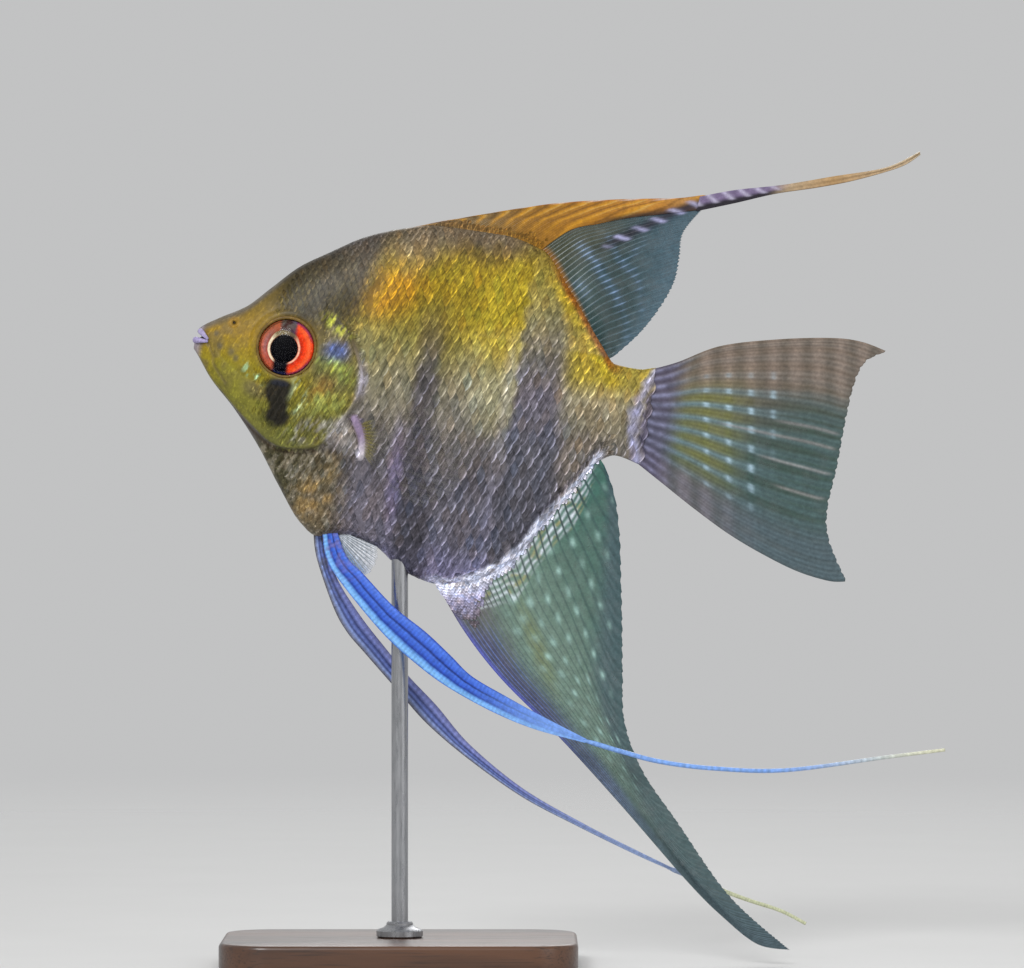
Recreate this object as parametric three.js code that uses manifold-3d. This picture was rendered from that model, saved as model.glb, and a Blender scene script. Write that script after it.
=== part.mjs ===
// A freshwater angelfish (Pterophyllum scalare), life size, swimming with its head a little raised,
// on a flat display stand with one rod. Millimetres, +Z up; the fish faces -X and its left side is -Y.
// The origin is the centre of the stand's underside.
import * as THREE from 'three';
import { mergeVertices } from 'three/addons/utils/BufferGeometryUtils.js';
import Module from 'manifold-3d';

const wasm = await Module();
wasm.setup();

// ---- Driving dimensions ----------------------------------------------------------------------
// The fish is drawn in its own frame: u from the tip of the lower lip towards the tail, v up the
// body, and y across it. Points are written [u, v].
const HEAD_RAISED = THREE.MathUtils.degToRad(9);
const LIP_X = -37.4;                 // tip of the lower lip, from the rod
const LIP_Z = 112.2;                 // tip of the lower lip, above the table
const GAP = 0.3;                     // clear space between neighbouring pieces
const FOOT_GAP = 0.4;                // the same between a fin's foot and the ridge it grows from
const BEYOND = 40;                   // further out, sideways, than any part of the body
const BODY_END = 83.2;               // where the tail fin's rays leave the flesh
const THINNEST = 0.27;               // half the thickness of a fin at its edge
const BASE = { length: 64, depth: 46, height: 5, corner: 9, bevel: 0.8 };
const ROD_RADIUS = 1.5;
const COLLAR = { radius: 4.2, height: 2.6, rim: 1.2, neck: 2.4 };
const EYE = { u: 17.2, v: 1.6, radius: 5.15, forward: 9, upward: 3, seat: 5 };
const COVER_THICKNESS = 2;           // the gill cover's plate

// The outline of the back, from the lips over the nape and the fin's base to the tail.
const BACK = [
  [0, 0.9], [1, 2.7], [4, 4.9], [8.8, 7.9], [12.4, 11.6], [17.1, 16.4], [21.9, 19.7],
  [28.1, 23.6], [34.8, 26.2], [41.7, 27.9], [52, 28.1], [59.6, 26.4], [66.1, 19.6],
  [72.8, 11.2], [76, 7.9], [80.2, 7.7], [BODY_END, 8.5],
];
// The outline below, from the chin over the breast, the vent and the anal fin's base.
const BELLY = [
  [0, -0.6], [1.2, -1.95], [4.4, -6], [9.4, -10.7], [14.9, -16.9], [19.3, -22.9],
  [24.5, -29.2], [27.6, -31], [33.7, -30.1], [38.4, -31.2], [41.7, -33.3], [45.5, -35.3],
  [50.2, -36.2], [57, -34.7], [63.4, -30.4], [67.2, -23.8], [71.7, -16.4], [75.5, -10],
  [78.5, -8.3], [BODY_END, -9.3],
];
// Half the body's thickness at its widest height, and of its ridges above and below.
const HALF_WIDTH = [
  [0, 0.9], [2, 2], [6, 3.5], [12, 5], [18, 6], [26, 6.9], [34, 7.1], [45, 6.4],
  [56, 5.1], [66, 3.5], [75, 2.3], [BODY_END, 1],
];
const BACK_RIDGE = [[0, 0.5], [10, 0.9], [25, 0.8], [45, 0.6], [BODY_END, 0.6]];
const BELLY_RIDGE = [[0, 0.5], [12, 0.6], [22, 1.1], [28, 1.7], [36, 1.3], [46, 0.8], [BODY_END, 0.6]];
// How sharply a section closes towards its ridges: 1 is an ellipse, more is a sharper lens.
const SHARPNESS = [[0, 0.9], [12, 1], [26, 1.25], [45, 1.5], [66, 1.5], [BODY_END, 1.2]];

const COLOURS = {
  head: 0x96823a, lip: 0x9a93a8, cover: 0x8f8848, trunk: 0x8f8068, stem: 0xa98736, iris: 0xdc4a22,
  spiny: 0xbe7328, soft: 0x5f7f86, trailer: 0xc09a6a, tailFin: 0x828094, anal: 0x5f7478,
  pelvicLeft: 0x4f7fe0, pelvicRight: 0x6f86b0, pectoral: 0xc9cdb4, stand: 0x23252a, steel: 0xb9bcc0,
};

// ---- Curves ----------------------------------------------------------------------------------
// A smooth height over u through the given points, with no overshoot between them.
function profile(points) {
  const slopes = points.slice(1).map(([u, v], i) => (v - points[i][1]) / (u - points[i][0]));
  const tangents = points.map((_, i) => {
    if (i === 0) return slopes[0];
    if (i === points.length - 1) return slopes[i - 1];
    const [before, after] = [slopes[i - 1], slopes[i]];
    return before * after <= 0 ? 0 : (2 * before * after) / (before + after);
  });
  return (u) => {
    const last = points.length - 2;
    let i = points.findIndex(([edge]) => u < edge) - 1;
    if (i < 0) i = u < points[0][0] ? 0 : last;
    const [[u0, v0], [u1, v1]] = [points[i], points[i + 1]];
    const span = u1 - u0;
    const t = THREE.MathUtils.clamp((u - u0) / span, 0, 1);
    const [t2, t3] = [t * t, t * t * t];
    return v0 * (2 * t3 - 3 * t2 + 1) + v1 * (3 * t2 - 2 * t3)
      + span * (tangents[i] * (t3 - 2 * t2 + t) + tangents[i + 1] * (t3 - t2));
  };
}

const back = profile(BACK);
const belly = profile(BELLY);
const halfWidth = profile(HALF_WIDTH);
const backRidge = profile(BACK_RIDGE);
const bellyRidge = profile(BELLY_RIDGE);
const sharpness = profile(SHARPNESS);

// Half the body's thickness at a height: rise is -1 on the belly, 0 half way up and 1 on the back.
function thicknessAt(u, rise) {
  const ridge = rise > 0 ? backRidge(u) : bellyRidge(u);
  const middle = Math.max(halfWidth(u), ridge);
  const blend = Math.pow(Math.max(1 - rise * rise, 0), sharpness(u) / 2);
  return ridge + (middle - ridge) * blend;
}

function flankAt(u, v) {
  const [top, bottom] = [back(u), belly(u)];
  const rise = (2 * v - top - bottom) / (top - bottom);
  return thicknessAt(u, THREE.MathUtils.clamp(rise, -1, 1));
}

// A curve through points, as a function from 0 to 1.
function through(...points) {
  const spline = new THREE.SplineCurve(points.map(([u, v]) => new THREE.Vector2(u, v)));
  return (t) => {
    const { x, y } = spline.getPointAt(THREE.MathUtils.clamp(t, 0, 1));
    return [x, y];
  };
}

// The line that a fin's foot follows, just clear of the back or the belly. side is 1 or -1.
function footAlong(outline, side, from, to) {
  const step = 0.05;
  return (s) => {
    const u = from + (to - from) * s;
    const slope = (outline(u + step) - outline(u - step)) / (2 * step);
    const scale = (side * FOOT_GAP) / Math.hypot(1, slope);
    return [u - slope * scale, outline(u) + scale];
  };
}

// ---- Closed meshes ---------------------------------------------------------------------------
function closedMesh(vertices, triangles) {
  const geometry = new THREE.BufferGeometry();
  geometry.setAttribute('position', new THREE.Float32BufferAttribute(vertices.flat(), 3));
  geometry.setIndex(triangles.flat());
  geometry.computeVertexNormals();
  return geometry;
}

// The skin of rings of equal length, closed at each end by a strip between the ring's two halves.
function loft(rings) {
  const count = rings[0].length;
  const triangles = [];
  for (let i = 0; i + 1 < rings.length; i += 1) {
    for (let j = 0; j < count; j += 1) {
      const next = (j + 1) % count;
      const [a, b] = [i * count + j, i * count + next];
      const [c, d] = [a + count, b + count];
      triangles.push([a, b, d], [a, d, c]);
    }
  }
  const last = (rings.length - 1) * count;
  for (let j = 0; j + 1 < count / 2; j += 1) {
    const [a, b, c, d] = [j, j + 1, count - 2 - j, count - 1 - j];
    triangles.push([a, c, b], [a, d, c]);
    triangles.push([last + a, last + b, last + c], [last + a, last + c, last + d]);
  }
  return closedMesh(rings.flat(), triangles);
}

// The whole body, grown on every side by some millimetres, or with its flanks drawn in.
function bodyGeometry({ grown = 0, inset = 0 } = {}) {
  const stations = 34;
  const levels = 11;
  const rings = [];
  for (let i = 0; i <= stations; i += 1) {
    const u = BODY_END * Math.pow(i / stations, 1.25);
    const [top, bottom] = [back(u) + grown, belly(u) - grown];
    const side = [];
    for (let j = 0; j < levels; j += 1) {
      const rise = -Math.cos((Math.PI * j) / (levels - 1));
      const y = Math.max(thicknessAt(u, rise) + grown - inset, 0.2);
      side.push([u, y, (top + bottom) / 2 + (rise * (top - bottom)) / 2]);
    }
    const mirrored = side.map(([x, y, z]) => [x, -y, z]).reverse();
    rings.push([...side, ...mirrored]);
  }
  return loft(rings);
}

// A sheet of fin between four edges: foot and margin run over s, leading and trailing over t.
// across(s, t, point) gives the middle of its thickness and half of it.
function finGeometry({ foot, margin, leading, trailing }, across, alongFoot, alongRay) {
  const corner = [foot(0), foot(1), margin(0), margin(1)];
  const blend = (s, t, axis) => (1 - t) * foot(s)[axis] + t * margin(s)[axis]
    + (1 - s) * leading(t)[axis] + s * trailing(t)[axis]
    - (1 - s) * (1 - t) * corner[0][axis] - s * (1 - t) * corner[1][axis]
    - (1 - s) * t * corner[2][axis] - s * t * corner[3][axis];
  const rings = [];
  for (let j = 0; j <= alongRay; j += 1) {
    const t = j / alongRay;
    const sides = [[], []];
    for (let i = 0; i <= alongFoot; i += 1) {
      const s = i / alongFoot;
      const [u, v] = [blend(s, t, 0), blend(s, t, 1)];
      const [middle, half] = across(s, t, [u, v]);
      sides[0].push([u, middle - half, v]);
      sides[1].push([u, middle + half, v]);
    }
    rings.push([...sides[0], ...sides[1].reverse()]);
  }
  return outward(loft(rings));
}

// A round thread that tapers along a path of [u, y, v] points.
function threadGeometry(points, startRadius, endRadius, steps, sides) {
  const path = new THREE.CatmullRomCurve3(points.map(([u, y, v]) => new THREE.Vector3(u, y, v)));
  const frames = path.computeFrenetFrames(steps);
  const rings = [];
  for (let i = 0; i <= steps; i += 1) {
    const centre = path.getPointAt(i / steps);
    const radius = THREE.MathUtils.lerp(startRadius, endRadius, i / steps);
    const ring = [];
    for (let j = 0; j < sides; j += 1) {
      const turn = (2 * Math.PI * j) / sides;
      const point = centre.clone()
        .addScaledVector(frames.normals[i], radius * Math.cos(turn))
        .addScaledVector(frames.binormals[i], radius * Math.sin(turn));
      ring.push(point.toArray());
    }
    rings.push(ring);
  }
  return outward(loft(rings));
}

function signedVolume(geometry) {
  const position = geometry.attributes.position;
  const index = geometry.index.array;
  const corner = [0, 1, 2].map(() => new THREE.Vector3());
  let total = 0;
  for (let i = 0; i < index.length; i += 3) {
    corner.forEach((point, k) => point.fromBufferAttribute(position, index[i + k]));
    total += corner[0].dot(corner[1].cross(corner[2])) / 6;
  }
  return total;
}

// Turns a closed mesh inside out where its faces point inwards.
function outward(geometry) {
  if (signedVolume(geometry) < 0) {
    const index = geometry.index.array;
    for (let i = 0; i < index.length; i += 3) {
      [index[i + 1], index[i + 2]] = [index[i + 2], index[i + 1]];
    }
    geometry.computeVertexNormals();
  }
  return geometry;
}

// ---- Solids: cutting and joining -------------------------------------------------------------
function solid(geometry) {
  const bare = geometry.clone();
  bare.deleteAttribute('normal');
  bare.deleteAttribute('uv');
  const merged = mergeVertices(bare, 1e-5);
  const vertProperties = new Float32Array(merged.attributes.position.array);
  const triVerts = new Uint32Array(merged.index.array);
  return new wasm.Manifold(new wasm.Mesh({ numProp: 3, vertProperties, triVerts }));
}

function geometryOf(manifold) {
  const { numProp, vertProperties, triVerts } = manifold.getMesh();
  const vertices = [];
  for (let i = 0; i < vertProperties.length; i += numProp) {
    vertices.push([vertProperties[i], vertProperties[i + 1], vertProperties[i + 2]]);
  }
  return closedMesh(vertices, [Array.from(triVerts)]);
}

// An outline in the fish's side view, run through it from one side to the other.
function slab(outline, from = -BEYOND, to = BEYOND) {
  const shape = new THREE.Shape(outline.map(([u, v]) => new THREE.Vector2(u, v)));
  const geometry = new THREE.ExtrudeGeometry(shape, { depth: to - from, bevelEnabled: false });
  geometry.rotateX(Math.PI / 2);
  geometry.translate(0, to, 0);
  return solid(geometry);
}

function sampled(curve, steps) {
  return Array.from({ length: steps + 1 }, (_, i) => curve(i / steps));
}

// A thin upright wall along a curve, which parts what it passes through.
function wall(curve, steps, thickness = GAP) {
  const path = sampled(curve, steps);
  const edge = (side) => path.map(([u, v], i) => {
    const [before, after] = [path[Math.max(i - 1, 0)], path[Math.min(i + 1, steps)]];
    const [du, dv] = [after[0] - before[0], after[1] - before[1]];
    const scale = (side * thickness) / 2 / Math.hypot(du, dv);
    return [u - dv * scale, v + du * scale];
  });
  return slab([...edge(1), ...edge(-1).reverse()]);
}

// ---- The body and its parts ------------------------------------------------------------------
const napeToChin = through(
  [23.6, 26], [24.6, 21], [27, 12.5], [29.6, 5], [31.6, -1.5], [31.3, -5.5], [29.8, -10],
  [26.6, -14.4], [21.6, -16.6], [16.6, -15.5], [12.6, -12.7], [8.6, -10.4], [7, -12],
);
const tailSeam = through([73.6, 13], [74.6, 8], [75.4, 2], [75.6, -4], [75.9, -9], [76.6, -13]);
const mouthLine = through(
  [-1.5, 2], [0.4, 1.55], [2.6, 0.5], [4.1, -1.4], [5.6, -4.4], [6.6, -10],
);
const lipSeam = through([2.3, 0.2], [3, 2.4], [3.4, 7]);
const coverFront = through(
  [25.4, 6.3], [23.6, 6], [22.9, 1], [21.9, -5.5], [18.6, -9.8], [14.6, -11.6],
);
const SEAM_STEPS = 18;

const headArea = slab([...sampled(napeToChin, SEAM_STEPS), [-10, -20], [-10, 30]]);
const stemArea = slab([...sampled(tailSeam, SEAM_STEPS), [95, -20], [95, 20]]);
const jawArea = slab([...sampled(mouthLine, SEAM_STEPS), [-6, -14]]);
const lipArea = slab([...sampled(lipSeam, SEAM_STEPS), [-6, 10], [-6, -2]]);

const seams = wall(napeToChin, SEAM_STEPS)
  .add(wall(tailSeam, SEAM_STEPS))
  .add(wall(mouthLine, SEAM_STEPS));
const parted = solid(bodyGeometry()).subtract(seams);
const face = parted.intersect(headArea);
const lowerJaw = face.intersect(jawArea);
const aboveMouth = face.subtract(jawArea).subtract(wall(lipSeam, SEAM_STEPS));
const upperLip = aboveMouth.intersect(lipArea);
const skull = aboveMouth.subtract(lipArea);
const tailStem = parted.intersect(stemArea);
const trunk = parted.subtract(headArea).subtract(stemArea);

// The gill cover is a plate over each cheek, open at its rear edge and its lower edge.
function coverPlate(side, clearance) {
  const front = sampled(coverFront, SEAM_STEPS).map(([u, v]) => [u - clearance, v + clearance]);
  const outline = [...front, [12, -24], [40, -24], [40, 6.3 + clearance]];
  const [from, to] = side < 0 ? [-BEYOND, 0] : [0, BEYOND];
  const core = solid(bodyGeometry({ inset: COVER_THICKNESS + clearance }));
  return slab(outline, from, to).subtract(core);
}

// The eye is a flattened ball with a clear dome in front, turned a little forward and up. Its
// outline is in parts of its radius across, and in millimetres along the gaze.
const EYE_OUTLINE = [
  [0, -3], [0.56, -2.6], [0.85, -1.6], [1, 0], [0.95, 0.7], [0.76, 1.2], [0.43, 1.6], [0, 1.75],
];

function eyeGeometry(grown) {
  const rim = EYE.radius + grown;
  const outline = EYE_OUTLINE.map(([r, h]) => new THREE.Vector2(r * rim, h + Math.sign(h) * grown));
  return new THREE.LatheGeometry(outline, 28);
}

function placeEye(object, side) {
  const forward = THREE.MathUtils.degToRad(EYE.forward);
  const upward = THREE.MathUtils.degToRad(EYE.upward);
  const gaze = new THREE.Vector3(-Math.sin(forward), side * Math.cos(forward), Math.sin(upward));
  object.quaternion.setFromUnitVectors(new THREE.Vector3(0, 1, 0), gaze.normalize());
  object.position.set(EYE.u, side * EYE.seat, EYE.v);
  object.updateMatrix();
  return object;
}

function eyeSocket(side) {
  const placed = placeEye(new THREE.Object3D(), side);
  return solid(eyeGeometry(GAP).applyMatrix4(placed.matrix));
}

let head = skull;
for (const side of [-1, 1]) {
  head = head.subtract(coverPlate(side, GAP)).subtract(eyeSocket(side));
}

// ---- Assembly --------------------------------------------------------------------------------
const model = new THREE.Group();
const fish = new THREE.Group();
fish.rotation.y = HEAD_RAISED;
fish.position.set(LIP_X, 0, LIP_Z);
fish.updateMatrix();
model.add(fish);

function addPart(parent, name, geometry, color, roughness = 0.4, metalness = 0) {
  const material = new THREE.MeshStandardMaterial({ color, roughness, metalness });
  const mesh = new THREE.Mesh(geometry, material);
  mesh.name = name;
  parent.add(mesh);
  return mesh;
}

const SIDES = [['left', -1], ['right', 1]];

addPart(fish, 'head', geometryOf(head), COLOURS.head);
addPart(fish, 'upper_lip', geometryOf(upperLip), COLOURS.lip);
addPart(fish, 'lower_jaw', geometryOf(lowerJaw), COLOURS.lip);
addPart(fish, 'trunk', geometryOf(trunk), COLOURS.trunk);
addPart(fish, 'tail_stem', geometryOf(tailStem), COLOURS.stem);
for (const [name, side] of SIDES) {
  const cover = skull.intersect(coverPlate(side, 0));
  addPart(fish, `gill_cover_${name}`, geometryOf(cover), COLOURS.cover);
  placeEye(addPart(fish, `eye_${name}`, eyeGeometry(0), COLOURS.iris, 0.08), side);
}

// ---- Fins ------------------------------------------------------------------------------------
// Each fin hangs between its foot, its leading and trailing edges, and its margin, which runs from
// the leading tip to the trailing tip.
function finEdges(foot, margin, leadingPoints, trailingPoints) {
  const leading = through(foot(0), ...leadingPoints, margin(0));
  const trailing = through(foot(1), ...trailingPoints, margin(1));
  return { foot, margin, leading, trailing };
}

// An upright fin: thick at the foot, thin at the margin and at both edges.
function upright(footThickness, sway) {
  return (s, t) => {
    const swell = Math.sqrt(Math.max(1 - t, 0)) * (0.55 + 0.45 * Math.sin(Math.PI * s));
    return [sway * t * t, THINNEST + (footThickness / 2 - THINNEST) * swell];
  };
}

const spinyDorsal = finEdges(
  footAlong(back, 1, 34, 59.2),
  through(
    [35, 27.2], [45, 29.8], [54.6, 33], [62, 35.2], [72.1, 37.4], [82.2, 39.2], [87.6, 40.5],
    [87.2, 37.9],
  ),
  [],
  [[64, 30.4], [69, 32.4], [74.4, 34.4], [80, 35.9]],
);
addPart(fish, 'fin_dorsal_spines', finGeometry(spinyDorsal, upright(1.1, 0.2), 14, 6), COLOURS.spiny);

const softDorsal = finEdges(
  footAlong(back, 1, 60.2, 74.2),
  through(
    [86.6, 37.3], [84.2, 33.3], [84.4, 29], [84.2, 24.4], [82.4, 19.4], [79.5, 14.2], [75.6, 9.4],
  ),
  [[64.3, 29.8], [69.2, 31.8], [74.5, 33.8], [80.2, 35.3]],
  [],
);
addPart(fish, 'fin_dorsal_soft', finGeometry(softDorsal, upright(1, 0.2), 10, 8), COLOURS.soft);

const dorsalTrailer = finEdges(
  through([88, 40.9], [87.6, 38.2]),
  through([124.1, 54.4], [124.3, 53.8]),
  [[92.4, 42.3], [100.5, 44.5], [109.1, 47.4], [118.5, 50.6]],
  [[92.8, 40], [99.5, 42.7], [106.8, 45], [113.4, 47.4], [121, 51]],
);
const dorsalTrailerSheet = finGeometry(dorsalTrailer, upright(0.8, 1.2), 2, 22);
addPart(fish, 'fin_dorsal_trailer', dorsalTrailerSheet, COLOURS.trailer);

const tailFin = finEdges(
  through([BODY_END + GAP, 8.5], [BODY_END + GAP, -9.3]),
  through(
    [123.9, 17.9], [120.4, 15.4], [119, 11], [118.5, 4], [118.3, -4], [117.8, -12], [119, -17.4],
    [123.2, -24.2],
  ),
  [[86.8, 10], [94, 14.1], [103.9, 16.9], [113.5, 18.7], [119, 18.9]],
  [[87.2, -11.7], [93.9, -15.5], [100.9, -19.1], [107.7, -21.8], [114.2, -23.8], [120, -24.6]],
);
addPart(fish, 'fin_tail', finGeometry(tailFin, upright(1.4, 1.5), 12, 9), COLOURS.tailFin);

const analFin = finEdges(
  footAlong(belly, -1, 50, 75.6),
  through(
    [123.4, -91.2], [111.3, -83.4], [99.9, -71.7], [92.2, -63.5], [87.7, -55.4], [86, -47], [84.4, -37.5],
    [83.1, -30.5], [81.6, -22.6], [79.6, -15.6], [77, -10.6],
  ),
  [[56, -43.2], [64.2, -51], [76.6, -60.1], [89.3, -70.3], [103, -81.8], [110.4, -87.2], [117.4, -91.1]],
  [],
);
const trailerSeam = through([80, -71], [97, -57]);
const wholeAnal = solid(finGeometry(analFin, upright(1.3, -1), 12, 12));
const trailerArea = slab([trailerSeam(0), trailerSeam(1), [140, -57], [140, -110], [80, -110]]);
const anal = wholeAnal.subtract(wall(trailerSeam, 1));
addPart(fish, 'fin_anal', geometryOf(anal.subtract(trailerArea)), COLOURS.anal);
addPart(fish, 'fin_anal_trailer', geometryOf(anal.intersect(trailerArea)), COLOURS.anal);

// The two pelvic fins hang from the breast, one on each side of the rod, and end in long threads.
const PELVICS = {
  left: {
    side: -1,
    colour: COLOURS.pelvicLeft,
    edges: finEdges(
      through([28.8, -31.8], [31.4, -31.6]),
      through([81, -60.3], [81.4, -59]),
      [[29.9, -34.4], [33.1, -38.4], [42.1, -46.3], [49.5, -51.1], [55.7, -54.2], [64.1, -57.2],
        [71.8, -59]],
      [[33.6, -33.8], [37.3, -36.6], [43.4, -41.3], [49.8, -44.9], [54.8, -48.3], [59.2, -51.4],
        [65.8, -54], [72.2, -56.3]],
    ),
    thread: [
      [81.6, -59.7], [88.5, -60.6], [95, -61.2], [104.2, -60.9], [117.1, -59.2], [134.8, -54],
      [144.8, -51.1],
    ],
    spread: 5,
    flare: 2,
  },
  right: {
    side: 1,
    colour: COLOURS.pelvicRight,
    edges: finEdges(
      through([27, -31.6], [29.6, -31.8]),
      through([101, -81.3], [101.2, -80.5]),
      [[28.3, -35.1], [32.5, -43.1], [35.6, -47.2], [39.6, -50.7], [46.1, -56.2], [52.6, -61.6],
        [61.3, -66.9], [71.7, -72], [81.9, -75.5], [93.2, -79]],
      [[31.8, -37], [37.2, -43.6], [43.6, -49.7], [48.1, -53.7], [53.8, -58.1], [60.8, -64.1],
        [71.5, -70.4], [83.4, -75], [93.3, -78.2]],
    ),
    thread: [[101.4, -80.9], [111.2, -83.3], [115.8, -84.2], [121.2, -85.1], [126, -86.7]],
    spread: 5.5,
    flare: 3,
  },
};
const PELVIC_ROOT = 1.05;            // each fin's foot, from the middle line
const PELVIC_SWELL = { foot: 0.36, tip: 0.16 };
const THREAD_RADIUS = { start: 0.4, end: 0.26 };

function pelvicOffset({ side, spread, flare }, u) {
  const outwards = spread * THREE.MathUtils.smoothstep(u, 28, 55);
  return side * (PELVIC_ROOT + outwards + flare * THREE.MathUtils.smoothstep(u, 50, 145));
}

for (const [name, pelvic] of Object.entries(PELVICS)) {
  const across = (s, t, [u]) => {
    const swell = THREE.MathUtils.lerp(PELVIC_SWELL.foot, PELVIC_SWELL.tip, t);
    return [pelvicOffset(pelvic, u), THINNEST + swell * Math.sin(Math.PI * s)];
  };
  addPart(fish, `fin_pelvic_${name}`, finGeometry(pelvic.edges, across, 4, 22), pelvic.colour);
  const route = pelvic.thread.map(([u, v]) => [u, pelvicOffset(pelvic, u), v]);
  const thread = threadGeometry(route, THREAD_RADIUS.start, THREAD_RADIUS.end, 16, 6);
  addPart(fish, `fin_pelvic_${name}_thread`, thread, pelvic.colour);
}

// The pectoral fins spread back and outwards from behind the gill covers.
const pectoralFin = finEdges(
  through([32.6, -9.7], [33.4, -12.5], [34, -15.4]),
  through([46.5, -4.6], [51.5, -8.4], [53.5, -13.8], [51, -19.2], [45.4, -23]),
  [[39, -6.4]],
  [[39, -20.2]],
);
const PECTORAL_SPREAD = 11;          // how far the fin's edge stands out from its foot

for (const [name, side] of SIDES) {
  const across = (s, t) => {
    const [u, v] = pectoralFin.foot(s);
    const half = THINNEST + 0.2 * (1 - t);
    return [side * (flankAt(u, v) + GAP + half + PECTORAL_SPREAD * Math.pow(t, 0.9)), half];
  };
  addPart(fish, `fin_pectoral_${name}`, finGeometry(pectoralFin, across, 6, 7), COLOURS.pectoral);
}

// ---- The display stand -----------------------------------------------------------------------
function roundedPlate({ length, depth, height, corner, bevel }) {
  const [x, y] = [length / 2 - bevel, depth / 2 - bevel];
  const shape = new THREE.Shape();
  shape.moveTo(-x + corner, -y);
  shape.lineTo(x - corner, -y);
  shape.absarc(x - corner, -y + corner, corner, -Math.PI / 2, 0);
  shape.lineTo(x, y - corner);
  shape.absarc(x - corner, y - corner, corner, 0, Math.PI / 2);
  shape.lineTo(-x + corner, y);
  shape.absarc(-x + corner, y - corner, corner, Math.PI / 2, Math.PI);
  shape.lineTo(-x, -y + corner);
  shape.absarc(-x + corner, -y + corner, corner, Math.PI, Math.PI * 1.5);
  const rounding = { bevelSize: bevel, bevelThickness: bevel, bevelSegments: 1, curveSegments: 5 };
  const plate = new THREE.ExtrudeGeometry(shape, { depth: height - 2 * bevel, ...rounding });
  plate.translate(0, 0, bevel);
  return plate;
}

addPart(model, 'stand_base', geometryOf(solid(roundedPlate(BASE))), COLOURS.stand, 0.5);

const collarProfile = [
  [ROD_RADIUS + GAP, 0], [COLLAR.radius, 0], [COLLAR.radius, COLLAR.rim], [COLLAR.neck, COLLAR.height],
  [ROD_RADIUS + GAP, COLLAR.height], [ROD_RADIUS + GAP, 0],
];
const collar = new THREE.LatheGeometry(collarProfile.map(([r, h]) => new THREE.Vector2(r, h)), 16);
const standFoot = BASE.height + GAP;
collar.rotateX(Math.PI / 2);
collar.translate(0, 0, standFoot);
addPart(model, 'stand_collar', geometryOf(solid(collar)), COLOURS.steel, 0.3, 1);

// The rod stands on the base and its top is cut to the belly it carries.
const rodLength = LIP_Z - standFoot;
const rod = new THREE.CylinderGeometry(ROD_RADIUS, ROD_RADIUS, rodLength, 20);
rod.rotateX(Math.PI / 2);
rod.translate(0, 0, standFoot + rodLength / 2);
const carried = solid(bodyGeometry({ grown: GAP }).applyMatrix4(fish.matrix));
addPart(model, 'stand_rod', geometryOf(solid(rod).subtract(carried)), COLOURS.steel, 0.3, 1);

export default model;
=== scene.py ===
"""The looks of a life-size freshwater angelfish on a display stand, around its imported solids."""
import math

import bpy
import numpy as np
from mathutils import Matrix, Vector


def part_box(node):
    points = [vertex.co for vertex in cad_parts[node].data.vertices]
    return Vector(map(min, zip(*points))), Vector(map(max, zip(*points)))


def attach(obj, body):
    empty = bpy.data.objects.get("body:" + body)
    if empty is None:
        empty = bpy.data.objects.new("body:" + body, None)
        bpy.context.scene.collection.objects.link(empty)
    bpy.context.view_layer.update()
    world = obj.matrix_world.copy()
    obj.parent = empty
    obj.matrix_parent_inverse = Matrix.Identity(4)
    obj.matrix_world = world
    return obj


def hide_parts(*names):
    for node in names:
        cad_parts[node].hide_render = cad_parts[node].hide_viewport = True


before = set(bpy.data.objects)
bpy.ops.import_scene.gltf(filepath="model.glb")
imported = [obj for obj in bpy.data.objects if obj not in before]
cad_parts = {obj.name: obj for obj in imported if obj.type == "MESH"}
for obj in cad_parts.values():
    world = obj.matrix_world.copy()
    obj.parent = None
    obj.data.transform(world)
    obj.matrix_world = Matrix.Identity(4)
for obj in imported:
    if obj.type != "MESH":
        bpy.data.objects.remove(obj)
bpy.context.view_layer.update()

# ---- Driving dimensions ----------------------------------------------------------------------
# The fish is drawn in its own frame, in millimetres: u from the tip of the lower lip towards the
# tail, v up the body and y across it, with its left side at -y. Points are written [u, v].
MM = 0.001
HEAD_RAISED = math.radians(9)
LIP = (-37.4, 112.2)                 # the tip of the lower lip: from the rod, and above the table
BODY_END = 83.2                      # where the flesh ends in the tail fin
SIDES = {"left": -1, "right": 1}
SKIN_DEPTH = 0.22                    # how far the skin lies inside the solids, for the scales
SLANT = 60                           # how steeply the glints lean towards the back, in degrees
SEED = 7

BACK = [
    [0, 0.9], [1, 2.7], [4, 4.9], [8.8, 7.9], [12.4, 11.6], [17.1, 16.4], [21.9, 19.7],
    [28.1, 23.6], [34.8, 26.2], [41.7, 27.9], [52, 28.1], [59.6, 26.4], [66.1, 19.6],
    [72.8, 11.2], [76, 7.9], [80.2, 7.7], [BODY_END, 8.5],
]
BELLY = [
    [0, -0.6], [1.2, -1.95], [4.4, -6], [9.4, -10.7], [14.9, -16.9], [19.3, -22.9],
    [24.5, -29.2], [27.6, -31], [33.7, -30.1], [38.4, -31.2], [41.7, -33.3], [45.5, -35.3],
    [50.2, -36.2], [57, -34.7], [63.4, -30.4], [67.2, -23.8], [71.7, -16.4], [75.5, -10],
    [78.5, -8.3], [BODY_END, -9.3],
]
HALF_WIDTH = [
    [0, 0.9], [2, 2], [6, 3.5], [12, 5], [18, 6], [26, 6.9], [34, 7.1], [45, 6.4],
    [56, 5.1], [66, 3.5], [75, 2.3], [BODY_END, 1],
]
BACK_RIDGE = [[0, 0.5], [10, 0.9], [25, 0.8], [45, 0.6], [BODY_END, 0.6]]
BELLY_RIDGE = [
    [0, 0.5], [12, 0.6], [22, 1.1], [28, 1.7], [36, 1.3], [46, 0.8], [BODY_END, 0.6],
]
SHARPNESS = [[0, 0.9], [12, 1], [26, 1.25], [45, 1.5], [66, 1.5], [BODY_END, 1.2]]

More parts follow.
